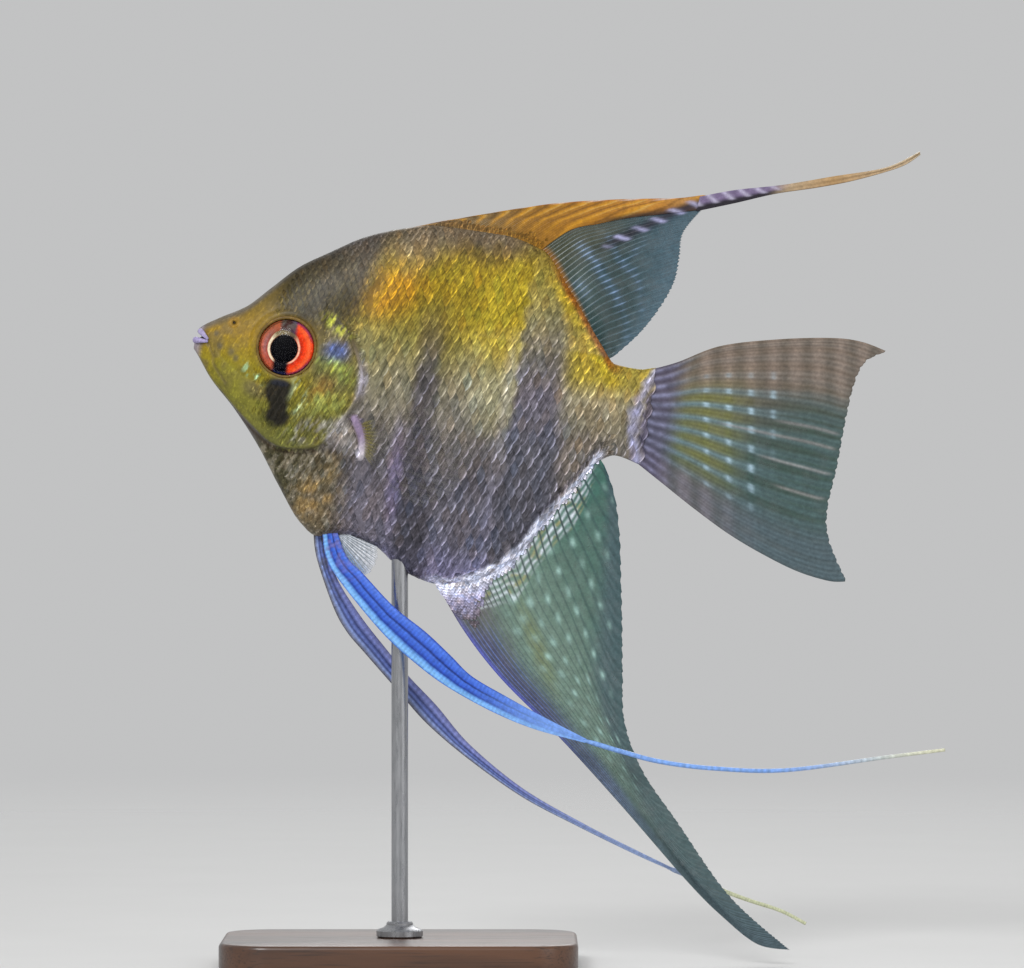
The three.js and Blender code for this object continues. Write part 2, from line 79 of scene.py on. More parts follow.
EYE_AT, EYE_RADIUS, EYE_SEAT = (17.2, 1.6), 5.15, 5
GAZE = {"forward": 9, "upward": 3}   # degrees from straight out to the side
PUPIL_AT, PUPIL_RADIUS = (-0.3, -0.4), 0.48          # from the eye's centre, and in its radii

# The gill cover's free edge, from its upper end round its rear to the chin.
COVER_EDGE = [
    [24.5, 9], [27.8, 6.5], [30, 2.8], [31.4, -0.6], [31.6, -3.7], [30.9, -6.6], [29.6, -9.2],
    [27.1, -13.3], [24.7, -15.5], [19.9, -16.3], [16.7, -15.6], [13.9, -13.8], [9.9, -10.8],
    [6.5, -7.9],
]
CHEEK_EDGE = [
    [23.4, 7], [23.6, 3], [23, -2], [21.6, -6.5], [18.8, -10.2], [14.8, -12.3], [10.5, -9.8],
]
JAW_FOLD = [[2.65, 0.5], [3.6, -0.6], [4.3, -2], [4.6, -3.4], [7.2, -6.4]]
CHEEK_FOLD = [[4.4, -0.4], [7.5, -3], [11, -5], [14.4, -5.6]]
NOSTRIL = [7.1, 4.55]
PECTORAL_ROOT = [[31.2, -9.2], [32.4, -11], [33.3, -13.2], [33.3, -15.6]]


# ---- Curves ----------------------------------------------------------------------------------
def profile(points):
    """A smooth height over u through the given points, with no overshoot between them."""
    at, height = np.array(points, float).T
    slope = np.diff(height) / np.diff(at)
    before, after = slope[:-1], slope[1:]
    turning = before * after <= 0
    mean = 2 * before * after / np.where(turning, 1, before + after)
    tangent = np.concatenate([slope[:1], np.where(turning, 0, mean), slope[-1:]])

    def curve(u):
        i = np.clip(np.searchsorted(at, u, side="right") - 1, 0, len(at) - 2)
        span = at[i + 1] - at[i]
        t = np.clip((u - at[i]) / span, 0, 1)
        bend = tangent[i] * (t**3 - 2 * t**2 + t) + tangent[i + 1] * (t**3 - t**2)
        rise = height[i] * (2 * t**3 - 3 * t**2 + 1) + height[i + 1] * (3 * t**2 - 2 * t**3)
        return rise + span * bend

    return curve


back, belly, half_width = profile(BACK), profile(BELLY), profile(HALF_WIDTH)
back_ridge, belly_ridge, sharpness = profile(BACK_RIDGE), profile(BELLY_RIDGE), profile(SHARPNESS)


def through(points):
    """A smooth curve through points, as a function from 0 to 1 that runs at an even pace."""
    knots = np.array(points, float)
    steps = 40 * (len(knots) - 1)
    t = np.linspace(0, len(knots) - 1, steps + 1)
    i = np.minimum(t.astype(int), len(knots) - 2)
    w = (t - i)[:, None]
    before, start, end = knots[np.maximum(i - 1, 0)], knots[i], knots[i + 1]
    after = knots[np.minimum(i + 2, len(knots) - 1)]
    leave, arrive = (end - before) / 2, (after - start) / 2
    line = (
        (2 * start - 2 * end + leave + arrive) * w**3
        + (3 * end - 3 * start - 2 * leave - arrive) * w**2
        + leave * w
        + start
    )
    pace = np.concatenate([[0], np.cumsum(np.linalg.norm(np.diff(line, axis=0), axis=1))])

    def curve(s):
        at = np.clip(s, 0, 1) * pace[-1]
        return np.stack([np.interp(at, pace, column) for column in line.T], axis=-1)

    return curve


def steepness(outline, u, step=0.5):
    """The slope of an outline at u, taken over a step to both sides."""
    return (outline(u + step) - outline(u - step)) / (2 * step)


def foot_along(outline, side, start, end, sink=1.2):
    """The line that a fin's foot follows, a little inside the back (side 1) or the belly (-1)."""
    def curve(s):
        u = start + (end - start) * np.asarray(s, float)
        slope = steepness(outline, u, 0.05)
        scale = -side * sink / np.hypot(1, slope)
        return np.stack([u - slope * scale, outline(u) + scale], axis=-1)

    return curve


def soft(low, high, x):
    """0 up to low, 1 from high, and smooth between. low may be the larger."""
    t = np.clip((x - low) / (high - low), 0, 1)
    return t * t * (3 - 2 * t)


def bump(x, centre, width):
    """A round bump of height 1."""
    return np.exp(-(((x - centre) / width) ** 2))


def bar(x, centre, half, fade):
    """1 within half of the centre, and 0 beyond the fade."""
    return soft(half + fade, half - fade, np.abs(x - centre))


def distance(u, v, place):
    """How far [u, v] is from a place."""
    return np.hypot(u - place[0], v - place[1])


def beside(u, v, curve, steps=60):
    """The distance to a curve, positive on its left, and how far along it the nearest place is."""
    line = curve(np.linspace(0, 1, steps + 1))
    best = np.full(np.shape(u), 1e9)
    where = np.zeros(np.shape(u))
    for i in range(steps):
        (u0, v0), (du, dv) = line[i], line[i + 1] - line[i]
        along = np.clip(((u - u0) * du + (v - v0) * dv) / (du * du + dv * dv), 0, 1)
        off_u, off_v = u - u0 - along * du, v - v0 - along * dv
        away = np.hypot(off_u, off_v)
        closer = away < np.abs(best)
        best = np.where(closer, away * np.sign(du * off_v - dv * off_u + 1e-12), best)
        where = np.where(closer, (i + along) / steps, where)
    return best, where


cover_edge, cheek_edge = through(COVER_EDGE), through(CHEEK_EDGE)
jaw_fold, cheek_fold = through(JAW_FOLD), through(CHEEK_FOLD)
pectoral_root = through(PECTORAL_ROOT)


# ---- The body's surface ----------------------------------------------------------------------
def rise_at(u, v):
    """How high v is in the body: -1 on the belly, 0 half way up and 1 on the back."""
    return (2 * v - back(u) - belly(u)) / (back(u) - belly(u))


def thickness(u, rise):
    """Half the body's thickness, without relief."""
    ridge = np.where(rise > 0, back_ridge(u), belly_ridge(u))
    middle = np.maximum(half_width(u), ridge)
    blend = np.clip(1 - rise**2, 0, 1) ** (sharpness(u) / 2)
    inside = np.maximum(ridge + (middle - ridge) * blend - SKIN_DEPTH, 0.15)
    from_keel = (1 - np.abs(rise)) * (back(u) - belly(u)) / 2
    rounding = 1 - np.clip(from_keel / ridge, 0, 1)
    return inside * np.sqrt(np.clip(1 - rounding**2, 0, 1))


def relief(u, v):
    """How far the head's bones, folds and openings stand out from the body's plain form."""
    inside, along = beside(u, v, cover_edge)
    inside = -inside
    fade = soft(1, 0.8, along) * soft(0, 0.12, along)
    high = 0.42 * soft(-0.2, 0.25, inside) * np.exp(-np.maximum(inside, 0) / 6)
    high += -0.2 * bump(inside, -0.55, 0.45) + 0.1 * bump(inside, 0.35, 0.3)
    high *= fade
    ridge, _ = beside(u, v, cheek_edge)
    high += 0.13 * soft(-0.3, 0.3, -ridge) * np.exp(-np.maximum(-ridge, 0) / 4)
    high -= 0.1 * bump(ridge, 0.2, 0.35)
    for line, depth, width in ((jaw_fold, 0.24, 0.28), (cheek_fold, 0.1, 0.4)):
        high -= depth * bump(beside(u, v, line)[0], 0, width)
    nose = distance(u, v, NOSTRIL)
    high += 0.16 * bump(nose, 0.62, 0.24) - 0.4 * bump(nose, 0, 0.36)
    arm, _ = beside(u, v, pectoral_root)
    high += 0.5 * bump(arm, 0, 0.75)
    from_eye = distance(u, v, EYE_AT)
    high += 0.16 * bump(from_eye, 6.1, 0.7) - 0.07 * bump(from_eye, 7.0, 0.28) * soft(19, 15, u)
    high -= 0.3 * soft(3, 1.2, u)
    return high


def flank(u, rise):
    """The skin's y on the right side, and its v."""
    v = (back(u) + belly(u)) / 2 + rise * (back(u) - belly(u)) / 2
    plain = thickness(u, rise)
    return plain + relief(u, v) * np.clip(plain / 1.5, 0, 1), v


def with_socket(u, y, v):
    """The skin's y with a hollow sunk for the eye."""
    from_eye = distance(u, v, EYE_AT)
    socket = soft(EYE_RADIUS + 0.3, EYE_RADIUS - 0.25, from_eye)
    return y * (1 - socket) + np.minimum(y, 2.6) * socket


# The skin unrolled: u along it and girth round it in millimetres, 0 at the lips' height and
# growing upwards. Past a keel it goes on over the other side.
U_STEP, GIRTH_STEP = 0.4, 0.25
TABLE_U = np.arange(0.6, BODY_END, U_STEP)
TABLE_GIRTH = np.arange(-52, 48, GIRTH_STEP)


def unrolled():
    """The skin's [y, v] at each place of the table, and the girth of its two keels at each u."""
    rise = np.sin(np.linspace(-math.pi / 2, math.pi / 2, 220))
    rows, ends = [], []
    y_all, v_all = flank(TABLE_U[:, None], rise[None, :])
    for y, v in zip(y_all, v_all):
        girth = np.concatenate([[0], np.cumsum(np.hypot(np.diff(y), np.diff(v)))])
        girth -= np.interp(0, v, girth)
        low, high = girth[0], girth[-1]
        whole = np.concatenate([(2 * low - girth)[:0:-1], girth, (2 * high - girth)[-2::-1]])
        across = np.interp(TABLE_GIRTH, whole, np.concatenate([-y[:0:-1], y, -y[-2::-1]]))
        up = np.interp(TABLE_GIRTH, whole, np.concatenate([v[:0:-1], v, v[-2::-1]]))
        rows.append(np.stack([across, up], axis=-1))
        ends.append((low, high))
    return np.array(rows), np.array(ends)


skin_table, keels = unrolled()


def girth_ends(u):
    """The girth of the belly's keel and of the back's."""
    return np.interp(u, TABLE_U, keels[:, 0]), np.interp(u, TABLE_U, keels[:, 1])


def lookup(table, row, column):
    """What a table of points or colours says between its rows and columns."""
    row, column = np.clip(row, 0, len(table) - 1.001), np.clip(column, 0, table.shape[1] - 1.001)
    i, k = row.astype(int), column.astype(int)
    a, b = (row - i)[..., None], (column - k)[..., None]
    near = table[i, k] * (1 - b) + table[i, k + 1] * b
    far = table[i + 1, k] * (1 - b) + table[i + 1, k + 1] * b
    return near * (1 - a) + far * a


def on_flank(u, girth):
    """Points [u, y, v] on the right side's skin."""
    found = lookup(skin_table, (u - TABLE_U[0]) / U_STEP, (girth - TABLE_GIRTH[0]) / GIRTH_STEP)
    return np.concatenate([u[..., None], found], axis=-1)


def flank_normal(u, girth):
    """The way the skin faces at a place on its unrolled sheet."""
    along = on_flank(u + 0.3, girth) - on_flank(u - 0.3, girth)
    upward = on_flank(u, girth + 0.3) - on_flank(u, girth - 0.3)
    normal = np.cross(upward, along)
    return normal / np.linalg.norm(normal, axis=-1, keepdims=True)


# ---- Colours ---------------------------------------------------------------------------------
def linear(tone):
    """A tone as a screen shows it, 0 to 255, in the linear values that Blender reads."""
    c = np.asarray(tone) / 255
    return np.where(c <= 0.04045, c / 12.92, ((c + 0.055) / 1.055) ** 2.4)


def mix(a, b, share):
    """A share of b over a. Each is a linear colour, or a tone in a tuple."""
    a, b = (linear(c) if isinstance(c, tuple) else c for c in (a, b))
    share = np.asarray(share)[..., None]
    return a * (1 - share) + b * share


def layers(colour, *coats):
    """A colour under coats laid on in turn, each a colour and its share."""
    for coat, share in coats:
        colour = mix(colour, coat, share)
    return colour


def ramp(x, stops):
    """The colour at x on a scale of stops, each a place and its tone."""
    stops = np.array(stops)
    return np.stack([np.interp(x, stops[:, 0], column) for column in linear(stops[:, 1:]).T], axis=-1)


def spot(u, v, centre, size, tilt=0.0, edge=0.4):
    """1 inside an ellipse, falling to 0 across its rim."""
    c, s = math.cos(math.radians(tilt)), math.sin(math.radians(tilt))
    du, dv = u - centre[0], v - centre[1]
    r = np.hypot((du * c + dv * s) / size[0], (dv * c - du * s) / size[1])
    return soft(1 + edge, 1 - edge, r)


NOISE = np.random.default_rng(SEED).random((4, 64, 64)) * 2 - 1


def mottle(u, v, size, layer=0, stretch=1.0, slant=0.0):
    """A smooth random pattern from -1 to 1, with its grain longer along the slant."""
    c, s = math.cos(math.radians(slant)), math.sin(math.radians(slant))
    x, y = (u * c + v * s) / (size * stretch), (v * c - u * s) / size
    i, k = np.floor(x).astype(int), np.floor(y).astype(int)
    a, b = soft(0, 1, x - i), soft(0, 1, y - k)
    grid = NOISE[layer]
    low = grid[i % 64, k % 64] * (1 - a) + grid[(i + 1) % 64, k % 64] * a
    high = grid[i % 64, (k + 1) % 64] * (1 - a) + grid[(i + 1) % 64, (k + 1) % 64] * a
    return low * (1 - b) + high * b


FLANK_COLOURS = [
    (-36, 128, 124, 162), (-29, 105, 103, 119), (-22, 103, 100, 109), (-17, 94, 91, 99),
    (-9, 108, 102, 97), (-2, 130, 124, 98), (5, 130, 121, 70), (9, 134, 120, 50),
    (12, 138, 120, 36), (16, 146, 124, 26), (20, 146, 123, 26), (24, 136, 112, 36),
    (28, 112, 92, 50),
]


def trunk_tint(u, v):
    """The trunk's and tail stem's colours."""
    colour = layers(
        ramp(v + 1.5 * mottle(u, v, 6), FLANK_COLOURS),
        ((162, 156, 120), 0.7 * spot(u, v, (54.5, 1), (5.4, 8.5), 8)),
        ((150, 145, 132), 0.4 * spot(u, v, (50, -4.5), (4, 4.5), 0, 0.7)),
        ((184, 162, 42), 0.75 * spot(u, v, (56.5, 14), (7, 10), -20)),
        ((158, 112, 10), 0.85 * spot(u, v, (34, 14.4), (6.2, 4), 30, 0.7)),
        ((98, 80, 42), 0.65 * spot(u, v, (48.2, 25), (5, 2.8), -10, 0.6)),
        ((164, 160, 146), 0.35 * bar(u, 38.2, 0.8, 1.7) * bar(v, -5.5, 6, 6)),
        ((114, 108, 118), 0.6 * spot(u, v, (35.5, -25), (5.5, 6), 0, 0.6)),
    )
    return end_colours(u, v, crest_colours(u, v, bar_colours(u, v, colour)))


def bar_colours(u, v, colour):
    """The two dusky bars that cross the trunk, with the pale lines before them."""
    ragged = u + 0.7 * mottle(u, v, 1.5, 3)
    first = bar(ragged, 42.8 + 1.6 * soft(-12, -28, v), 2.1 + 1.2 * soft(-14, -24, v), 1.4)
    first_dusk = ramp(v, [(-28, 60, 59, 66), (-16, 72, 69, 80), (0, 74, 70, 80), (9, 92, 86, 72)])
    second_dusk = ramp(v, [
        (-24, 82, 82, 92), (-10, 90, 91, 102), (0, 104, 99, 115), (7, 110, 106, 103),
        (14, 136, 130, 94), (21, 150, 140, 84),
    ])
    rear = 68.7 - 2.9 * soft(3, 19, v)
    second = soft(57.9, 59.4, ragged) * soft(rear + 1.5, rear - 2, ragged) * soft(30, 12, v)
    line = ramp(v, [(-24, 124, 124, 152), (-8, 150, 150, 160), (2, 190, 188, 176)])
    return layers(
        colour,
        (first_dusk, 0.8 * (first * soft(16, 3, v))),
        ((132, 116, 160), 0.4 * spot(u, v, (39.8, -18), (1.2, 8.5), 3, 0.7)),
        (second_dusk, 0.88 * second),
        (line, 0.5 * bar(u, 57.4, 0.6, 1.2) * soft(12, 5, v) * soft(-31, -25, v)),
    )


def crest_colours(u, v, colour):
    """The gilded tail stem, the back's crest and the silver strip along the anal fin's base."""
    gold = ramp(v, [(-2, 140, 129, 106), (0.5, 168, 154, 122), (4.5, 174, 152, 54)])
    from_back = (back(u) - v) / np.hypot(1, 1.2)
    rear = soft(60, 65, u) * soft(79, 74, u)
    deep = 4.5 + 7.5 * bar(u, 38, 4.5, 4)
    crest = soft(30, 36, u) * soft(60, 52, u) * soft(deep, 0.15 * deep, back(u) - v + mottle(u, v, 2, 1))
    from_belly = (v - belly(u)) / np.hypot(1, 1.3 * soft(60, 66, u))
    wide = 1.2 + 1.3 * bar(u, 62.5, 5, 6)
    ragged = from_belly + 0.5 * mottle(u, v, 2, 1)
    silver = soft(47, 50, u) * soft(77, 75, u) * soft(wide + 0.5, wide - 0.7, ragged)
    # strokes: painted glints in the silver strip, slanted like the scales' glints.
    strokes = soft(-0.5, 0.2, mottle(u, v, 0.7, 3, 2.5, SLANT))
    line = soft(60, 64, u) * soft(77, 74, u) * bar(from_belly, wide + 0.5, 0.35, 0.4)
    return layers(
        colour,
        (gold, 0.85 * soft(65, 70, u) * soft(-7, -2, v) * (1 - 0.4 * soft(75, 79, u))),
        ((126, 117, 106), 0.7 * soft(67, 72, u) * soft(-3, -7, v)),
        ((190, 162, 34), rear * bar(from_back, 2, 0.7, 0.9) * 0.85),
        ((150, 84, 14), rear * soft(1.5, 0.6, from_back) * 0.9),
        ((112, 98, 80), 0.85 * crest),
        # The silver strip: a pale silvery tone, with painted glints in slanted strokes.
        ((228, 232, 255), (0.5 + 0.5 * strokes) * silver),
        ((54, 50, 62), 0.6 * line),
    )


def end_colours(u, v, colour):
    """The pale, broken crescent where the tail fin begins, and the dark flesh behind it."""
    end = u - 80.1 - 0.034 * (v + 1.5) ** 2
    ragged = end + 0.5 * mottle(u, v, 1.1, 1)
    return layers(
        colour,
        ((168, 168, 206), (0.7 + 0.25 * mottle(u, v, 1.4, 2)) * bar(ragged, 0.6, 0.9, 0.7)),
        ((84, 80, 110), 0.8 * soft(1.4, 2.4, ragged)),
    )


def glitter(u, v, centre, size, tilt=0.0):
    """Fine slanted strokes of light inside a soft patch."""
    return spot(u, v, centre, size, tilt, 0.7) * soft(0.1, 0.45, mottle(u, v, 0.42, 2, 4, SLANT + 4))


def head_tint(u, v):
    """The head's colours."""
    nape = soft(4.5, 10, v + 0.25 * (u - 14)) * soft(11, 17, u)
    shaded = ramp(v, [(6, 58, 52, 30), (12, 44, 39, 20), (18, 60, 54, 42), (22, 78, 72, 66)])
    bar_up = bar(u, 19.4 + 0.42 * (v - 6), 1.7, 1.3) * soft(6, 8, v) * soft(19, 13, v)
    colour = layers(
        ramp(v, [
            (-16, 104, 104, 50), (-9, 116, 112, 40), (-3, 138, 124, 28),
            (3, 148, 117, 20), (9, 118, 98, 42),
        ]),
        ((98, 92, 48), 0.6 * soft(19, 24, u) * soft(7, 1, v)),
        ((132, 128, 46), 0.6 * spot(u, v, (9, -6.5), (5, 2.4), -45)),
        ((100, 94, 86), 0.85 * soft(1.9, 0.4, back(u) - v)),
        (shaded, 0.92 * nape),
        ((48, 45, 40), 0.5 * bar_up),
    )
    colour = cheek_colours(u, v, colour)
    from_eye = distance(u, v, EYE_AT)
    colour = layers(
        colour,
        ((112, 92, 42), 0.5 * soft(6.2, 5.4, from_eye)),
        ((96, 84, 58), 0.5 * soft(0, 0.55, mottle(u, v, 1.6, 3)) * soft(13, 4, u)),
    )
    for place, size in (((5.2, 0), 0.5), ((7.4, -0.8), 0.55), ((8.4, -1.7), 0.5), ((4.2, 2.2), 0.4)):
        colour = mix(colour, (84, 80, 70), 0.6 * spot(u, v, place, (size, size * 1.2), 0, 0.7))
    nose = distance(u, v, NOSTRIL)
    fold, _ = beside(u, v, jaw_fold)
    return layers(
        colour,
        ((186, 138, 46), 0.4 * bump(nose, 0.7, 0.35)),
        # Painted shade in the nostril's opening.
        ((26, 18, 12), soft(0.42, 0.2, nose)),
        # Painted shade along the jaw's fold.
        ((96, 82, 62), 0.5 * bump(fold, 0, 0.3)),
        ((136, 130, 150), 0.7 * soft(2.4, 1.0, u)),
    )


def cheek_colours(u, v, colour):
    """The glittering patches of the gill cover, and the dark blotch below the eye."""
    blue = spot(u, v, (26.1, 2), (2.3, 1.7), 20, 0.6)
    ragged = 0.6 * mottle(u, v, 1.2, 1)
    upper = spot(u + ragged, v, (16.8, -6.6), (2.5, 2.7), 0, 0.3)
    lower = spot(u + ragged, v, (17.3, -10), (2.1, 2.9), 0, 0.3)
    return layers(
        colour,
        ((92, 100, 88), 0.6 * spot(u, v, (25.6, 0.4), (3.4, 5), 20, 0.8)),
        ((62, 80, 132), 0.8 * blue),
        ((104, 124, 190), 0.8 * glitter(u, v, (26.1, 2), (2.3, 1.8), 20)),
        ((122, 130, 54), 0.6 * spot(u, v, (26.4, -1), (3.4, 1.7), -20, 0.7)),
        ((174, 190, 88), 0.7 * glitter(u, v, (26.2, -0.8), (4, 1.6), -22)),
        ((180, 182, 58), 0.75 * glitter(u, v, (26, 6.8), (2.8, 1.2), -25)),
        ((146, 106, 42), 0.5 * spot(u, v, (24.6, -4.8), (1.7, 3), -30, 0.8)),
        ((134, 136, 56), 0.5 * spot(u, v, (25.6, -7.4), (3.2, 1.8), 20, 0.8)),
        ((174, 178, 92), 0.6 * glitter(u, v, (25.2, -7), (3.6, 2.6), 20)),
        ((186, 204, 160), 0.7 * glitter(u, v, (20.4, -6.8), (1.5, 3.2))),
        ((176, 170, 170), 0.5 * glitter(u, v, (24, -12.4), (4, 1.8), 20)),
        ((104, 92, 78), 0.5 * spot(u, v, (12.6, -6.8), (2.2, 1.3), -20, 0.7)),
        ((172, 216, 168), 0.85 * glitter(u, v, (12.2, -3.9), (2.6, 1), -26)),
        ((20, 16, 20), 0.95 * np.maximum(upper, lower)),
        ((34, 40, 56), 0.6 * spot(u, v, (17, -4.9), (1.8, 0.6))),
    )


def body_tint(u, v):
    """The colours of skin and scales alike, at a place on the fish's side."""
    inside, along = beside(u, v, cover_edge)
    inside = np.where(v > 9, soft(30, 25, u) * 2 - 1, -inside)
    nape = soft(33, 27, u - 0.25 * (v - 12)) * soft(6, 9, v)
    breast = soft(34, 28, u) * soft(-13, -17, v) * soft(0.1, -0.1, inside)
    tone = ramp(v, [(-25, 106, 95, 74), (-20, 88, 79, 58), (-16, 78, 70, 50)])
    tone = mix(tone, (72, 68, 46), soft(26, 20, u))
    flame = spot(u, v, (26.4, -23.4), (2.6, 4.8), -35, 0.8) * soft(-0.7, 0.3, mottle(u, v, 1.6, 2))
    # rim: a painted highlight along the gill cover's edge.
    rim = bump(inside, 0.25, 0.3) * soft(0.1, 0.2, along) * soft(0.5, 0.42, along)
    # streak and white: a painted white glint at the gill cover's lower rear corner.
    streak = bump(inside, -0.1, 0.8) * bar(along, 0.475, 0.045, 0.03)
    white = streak * soft(-0.8, 0.2, mottle(u, v, 0.8, 3))
    arm, down = beside(u, v, pectoral_root)
    lilac = mix((142, 124, 152), (206, 198, 208), soft(0.4, 1, down))
    # gap: painted shade in the mouth's opening between the lips.
    gap = soft(3.2, 1.8, u) * bump(v, 1.25, 0.4)
    return layers(
        trunk_tint(u, v),
        (head_tint(u, v), np.maximum(soft(-0.2, 0.2, inside), nape)),
        (tone, breast),
        # Painted glints: slanted cream strokes on the breast's scales.
        ((176, 166, 146), 0.4 * breast * soft(0.1, 0.5, mottle(u, v, 0.4, 1, 3.5, SLANT + 4))),
        ((180, 146, 86), 0.6 * breast * flame),
        # Painted highlight along the gill cover's edge.
        ((150, 142, 156), 0.4 * rim),
        # Painted glints on the gill cover's rim: lilac-white high up, white at its lower rear corner.
        ((196, 190, 208), 0.8 * bump(inside, 0, 0.7) * bar(along, 0.28, 0.05, 0.04)),
        ((208, 202, 204), 0.85 * white),
        # Painted shade in the groove just outside the gill cover's edge.
        ((52, 40, 24), 0.85 * bump(inside, -0.5, 0.45) * soft(0.52, 0.6, along)),
        ((62, 50, 40), 0.35 * bump(inside, -0.5, 0.4) * soft(0.42, 0.3, along)),
        # Painted highlight between the gill cover's edge and the pectoral fin's root.
        ((186, 176, 164),
         0.5 * spot(u, v, (30.4, -11.6), (2.4, 3.2), 20, 0.7) * soft(0.1, -0.1, inside)),
        ((62, 46, 34), 0.6 * soft(1.5, 0.9, np.abs(arm)) * soft(0.9, 0.6, down)),
        (lilac, soft(0.9, 0.45, np.abs(arm))),
        # Painted shade in the mouth's opening.
        ((28, 18, 20), 0.9 * gap),
    )


TINT_STEP = 0.15
tint_u, tint_v = np.arange(0, BODY_END + 1, TINT_STEP), np.arange(-38, 30, TINT_STEP)
tint_table = body_tint(*np.meshgrid(tint_u, tint_v, indexing="ij"))


def tint_at(u, v):
    """body_tint, read from a fine table made once for the many points of the scales."""
    return lookup(tint_table, u / TINT_STEP, (v - tint_v[0]) / TINT_STEP)


# ---- Meshes ----------------------------------------------------------------------------------
def place(points):
    """From the fish's own frame [u, y, v] to the row frame, in metres."""
    u, y, v = np.moveaxis(np.asarray(points, float), -1, 0)
    x = LIP[0] + u * math.cos(HEAD_RAISED) + v * math.sin(HEAD_RAISED)
    z = LIP[1] - u * math.sin(HEAD_RAISED) + v * math.cos(HEAD_RAISED)
    return np.stack([x, y, z], axis=-1) * MM


def triangles(quads):
    """Two triangles for each four-sided face."""
    quads = np.asarray(quads)
    return np.concatenate([quads[:, [0, 1, 2]], quads[:, [0, 2, 3]]])


def outwards(points, faces):
    """The faces, turned over if the closed mesh is inside out."""
    a, b, c = (points[faces[:, k]] for k in range(3))
    return faces if np.einsum("ij,ij->", a, np.cross(b, c)) > 0 else faces[:, ::-1]


def make_piece(name, points, faces, material, slot, tint=None, patch=None, sharp=None, replaced=()):
    """A mesh from points in metres. tint is a colour with its alpha, and patch the bake's map."""
    mesh = bpy.data.meshes.new(name)
    mesh.from_pydata(points, [], outwards(points, faces))
    if tint is not None:
        colours = mesh.color_attributes.new("tint", "FLOAT_COLOR", "POINT")
        whole = tint if tint.shape[1] == 4 else np.column_stack([tint, np.ones(len(tint))])
        colours.data.foreach_set("color", whole.astype(np.float32).ravel())
    if patch is not None:
        corner = np.empty(len(mesh.loops), np.int32)
        mesh.loops.foreach_get("vertex_index", corner)
        places = mesh.uv_layers.new(name="OFBake").data
        places.foreach_set("uv", patch[corner].astype(np.float32).ravel())
    mesh.shade_smooth()
    if sharp is not None:
        mesh.set_sharp_from_angle(angle=math.radians(sharp))
    mesh.materials.append(material)
    piece = bpy.data.objects.new(name, mesh)
    bpy.context.scene.collection.objects.link(piece)
    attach(piece, "root")
    if replaced:
        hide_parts(*replaced)
    return piece


def sheet_faces(rows, columns):
    """Triangles of a grid of points, row by row."""
    i, k = np.meshgrid(np.arange(rows - 1), np.arange(columns - 1), indexing="ij")
    a = (i * columns + k).ravel()
    return triangles(np.stack([a, a + 1, a + columns + 1, a + columns], axis=1))


def sheet_rim(rows, columns):
    """The points round the edge of a grid, in turn."""
    index = np.arange(rows * columns).reshape(rows, columns)
    return np.concatenate([index[0, :], index[1:, -1], index[-1, -2::-1], index[-2:0:-1, 0]])


def joined(parts):
    """Several meshes as one. Each is its points, tints, bake map and triangles."""
    starts = np.cumsum([0] + [len(part[0]) for part in parts[:-1]])
    faces = [part[3] + start for part, start in zip(parts, starts)]
    return (*(np.concatenate([part[k] for part in parts]) for k in range(3)), np.concatenate(faces))


def two_sided(rows, columns):
    """Triangles of a closed sheet: one grid of points, then its other side in the same order."""
    count, rim = rows * columns, sheet_rim(rows, columns)
    after = np.roll(rim, -1)
    wall = triangles(np.stack([rim, rim + count, after + count, after], axis=1))
    front = sheet_faces(rows, columns)
    return np.concatenate([front, front[:, ::-1] + count, wall])


def circle(steps):
    """The angles of a ring's points."""
    return np.linspace(0, 2 * math.pi, steps, endpoint=False)


def ring_sides(rows, columns):
    """Triangles between rings of points, one ring a row."""
    i, k = np.meshgrid(np.arange(rows - 1), np.arange(columns), indexing="ij")
    a, b = (i * columns + k).ravel(), (i * columns + (k + 1) % columns).ravel()
    return triangles(np.stack([a, b, b + columns, a + columns], axis=1))


def capped_rings(rows, columns):
    """Triangles of a closed solid made of rings of points, flat at its first and last ring."""
    edge = np.arange(1, columns - 1)
    fan = np.stack([0 * edge, edge, edge + 1], axis=1)
    return np.concatenate([ring_sides(rows, columns), fan[:, ::-1], fan + (rows - 1) * columns])


def tube(path, radii, sides=12):
    """The points and triangles of a round tube."""
    path = np.asarray(path, float)
    heading = np.gradient(path, axis=0)
    heading /= np.linalg.norm(heading, axis=1, keepdims=True)
    side = np.cross(heading, [0.0, 1.0, 0.0] if abs(heading[:, 1]).max() < 0.9 else [0.0, 0.0, 1.0])
    side /= np.linalg.norm(side, axis=1, keepdims=True)
    other = np.cross(heading, side)
    turn = circle(sides)
    ring = np.cos(turn)[None, :, None] * side[:, None] + np.sin(turn)[None, :, None] * other[:, None]
    points = path[:, None] + ring * np.asarray(radii)[:, None, None]
    return points.reshape(-1, 3), capped_rings(len(path), sides)


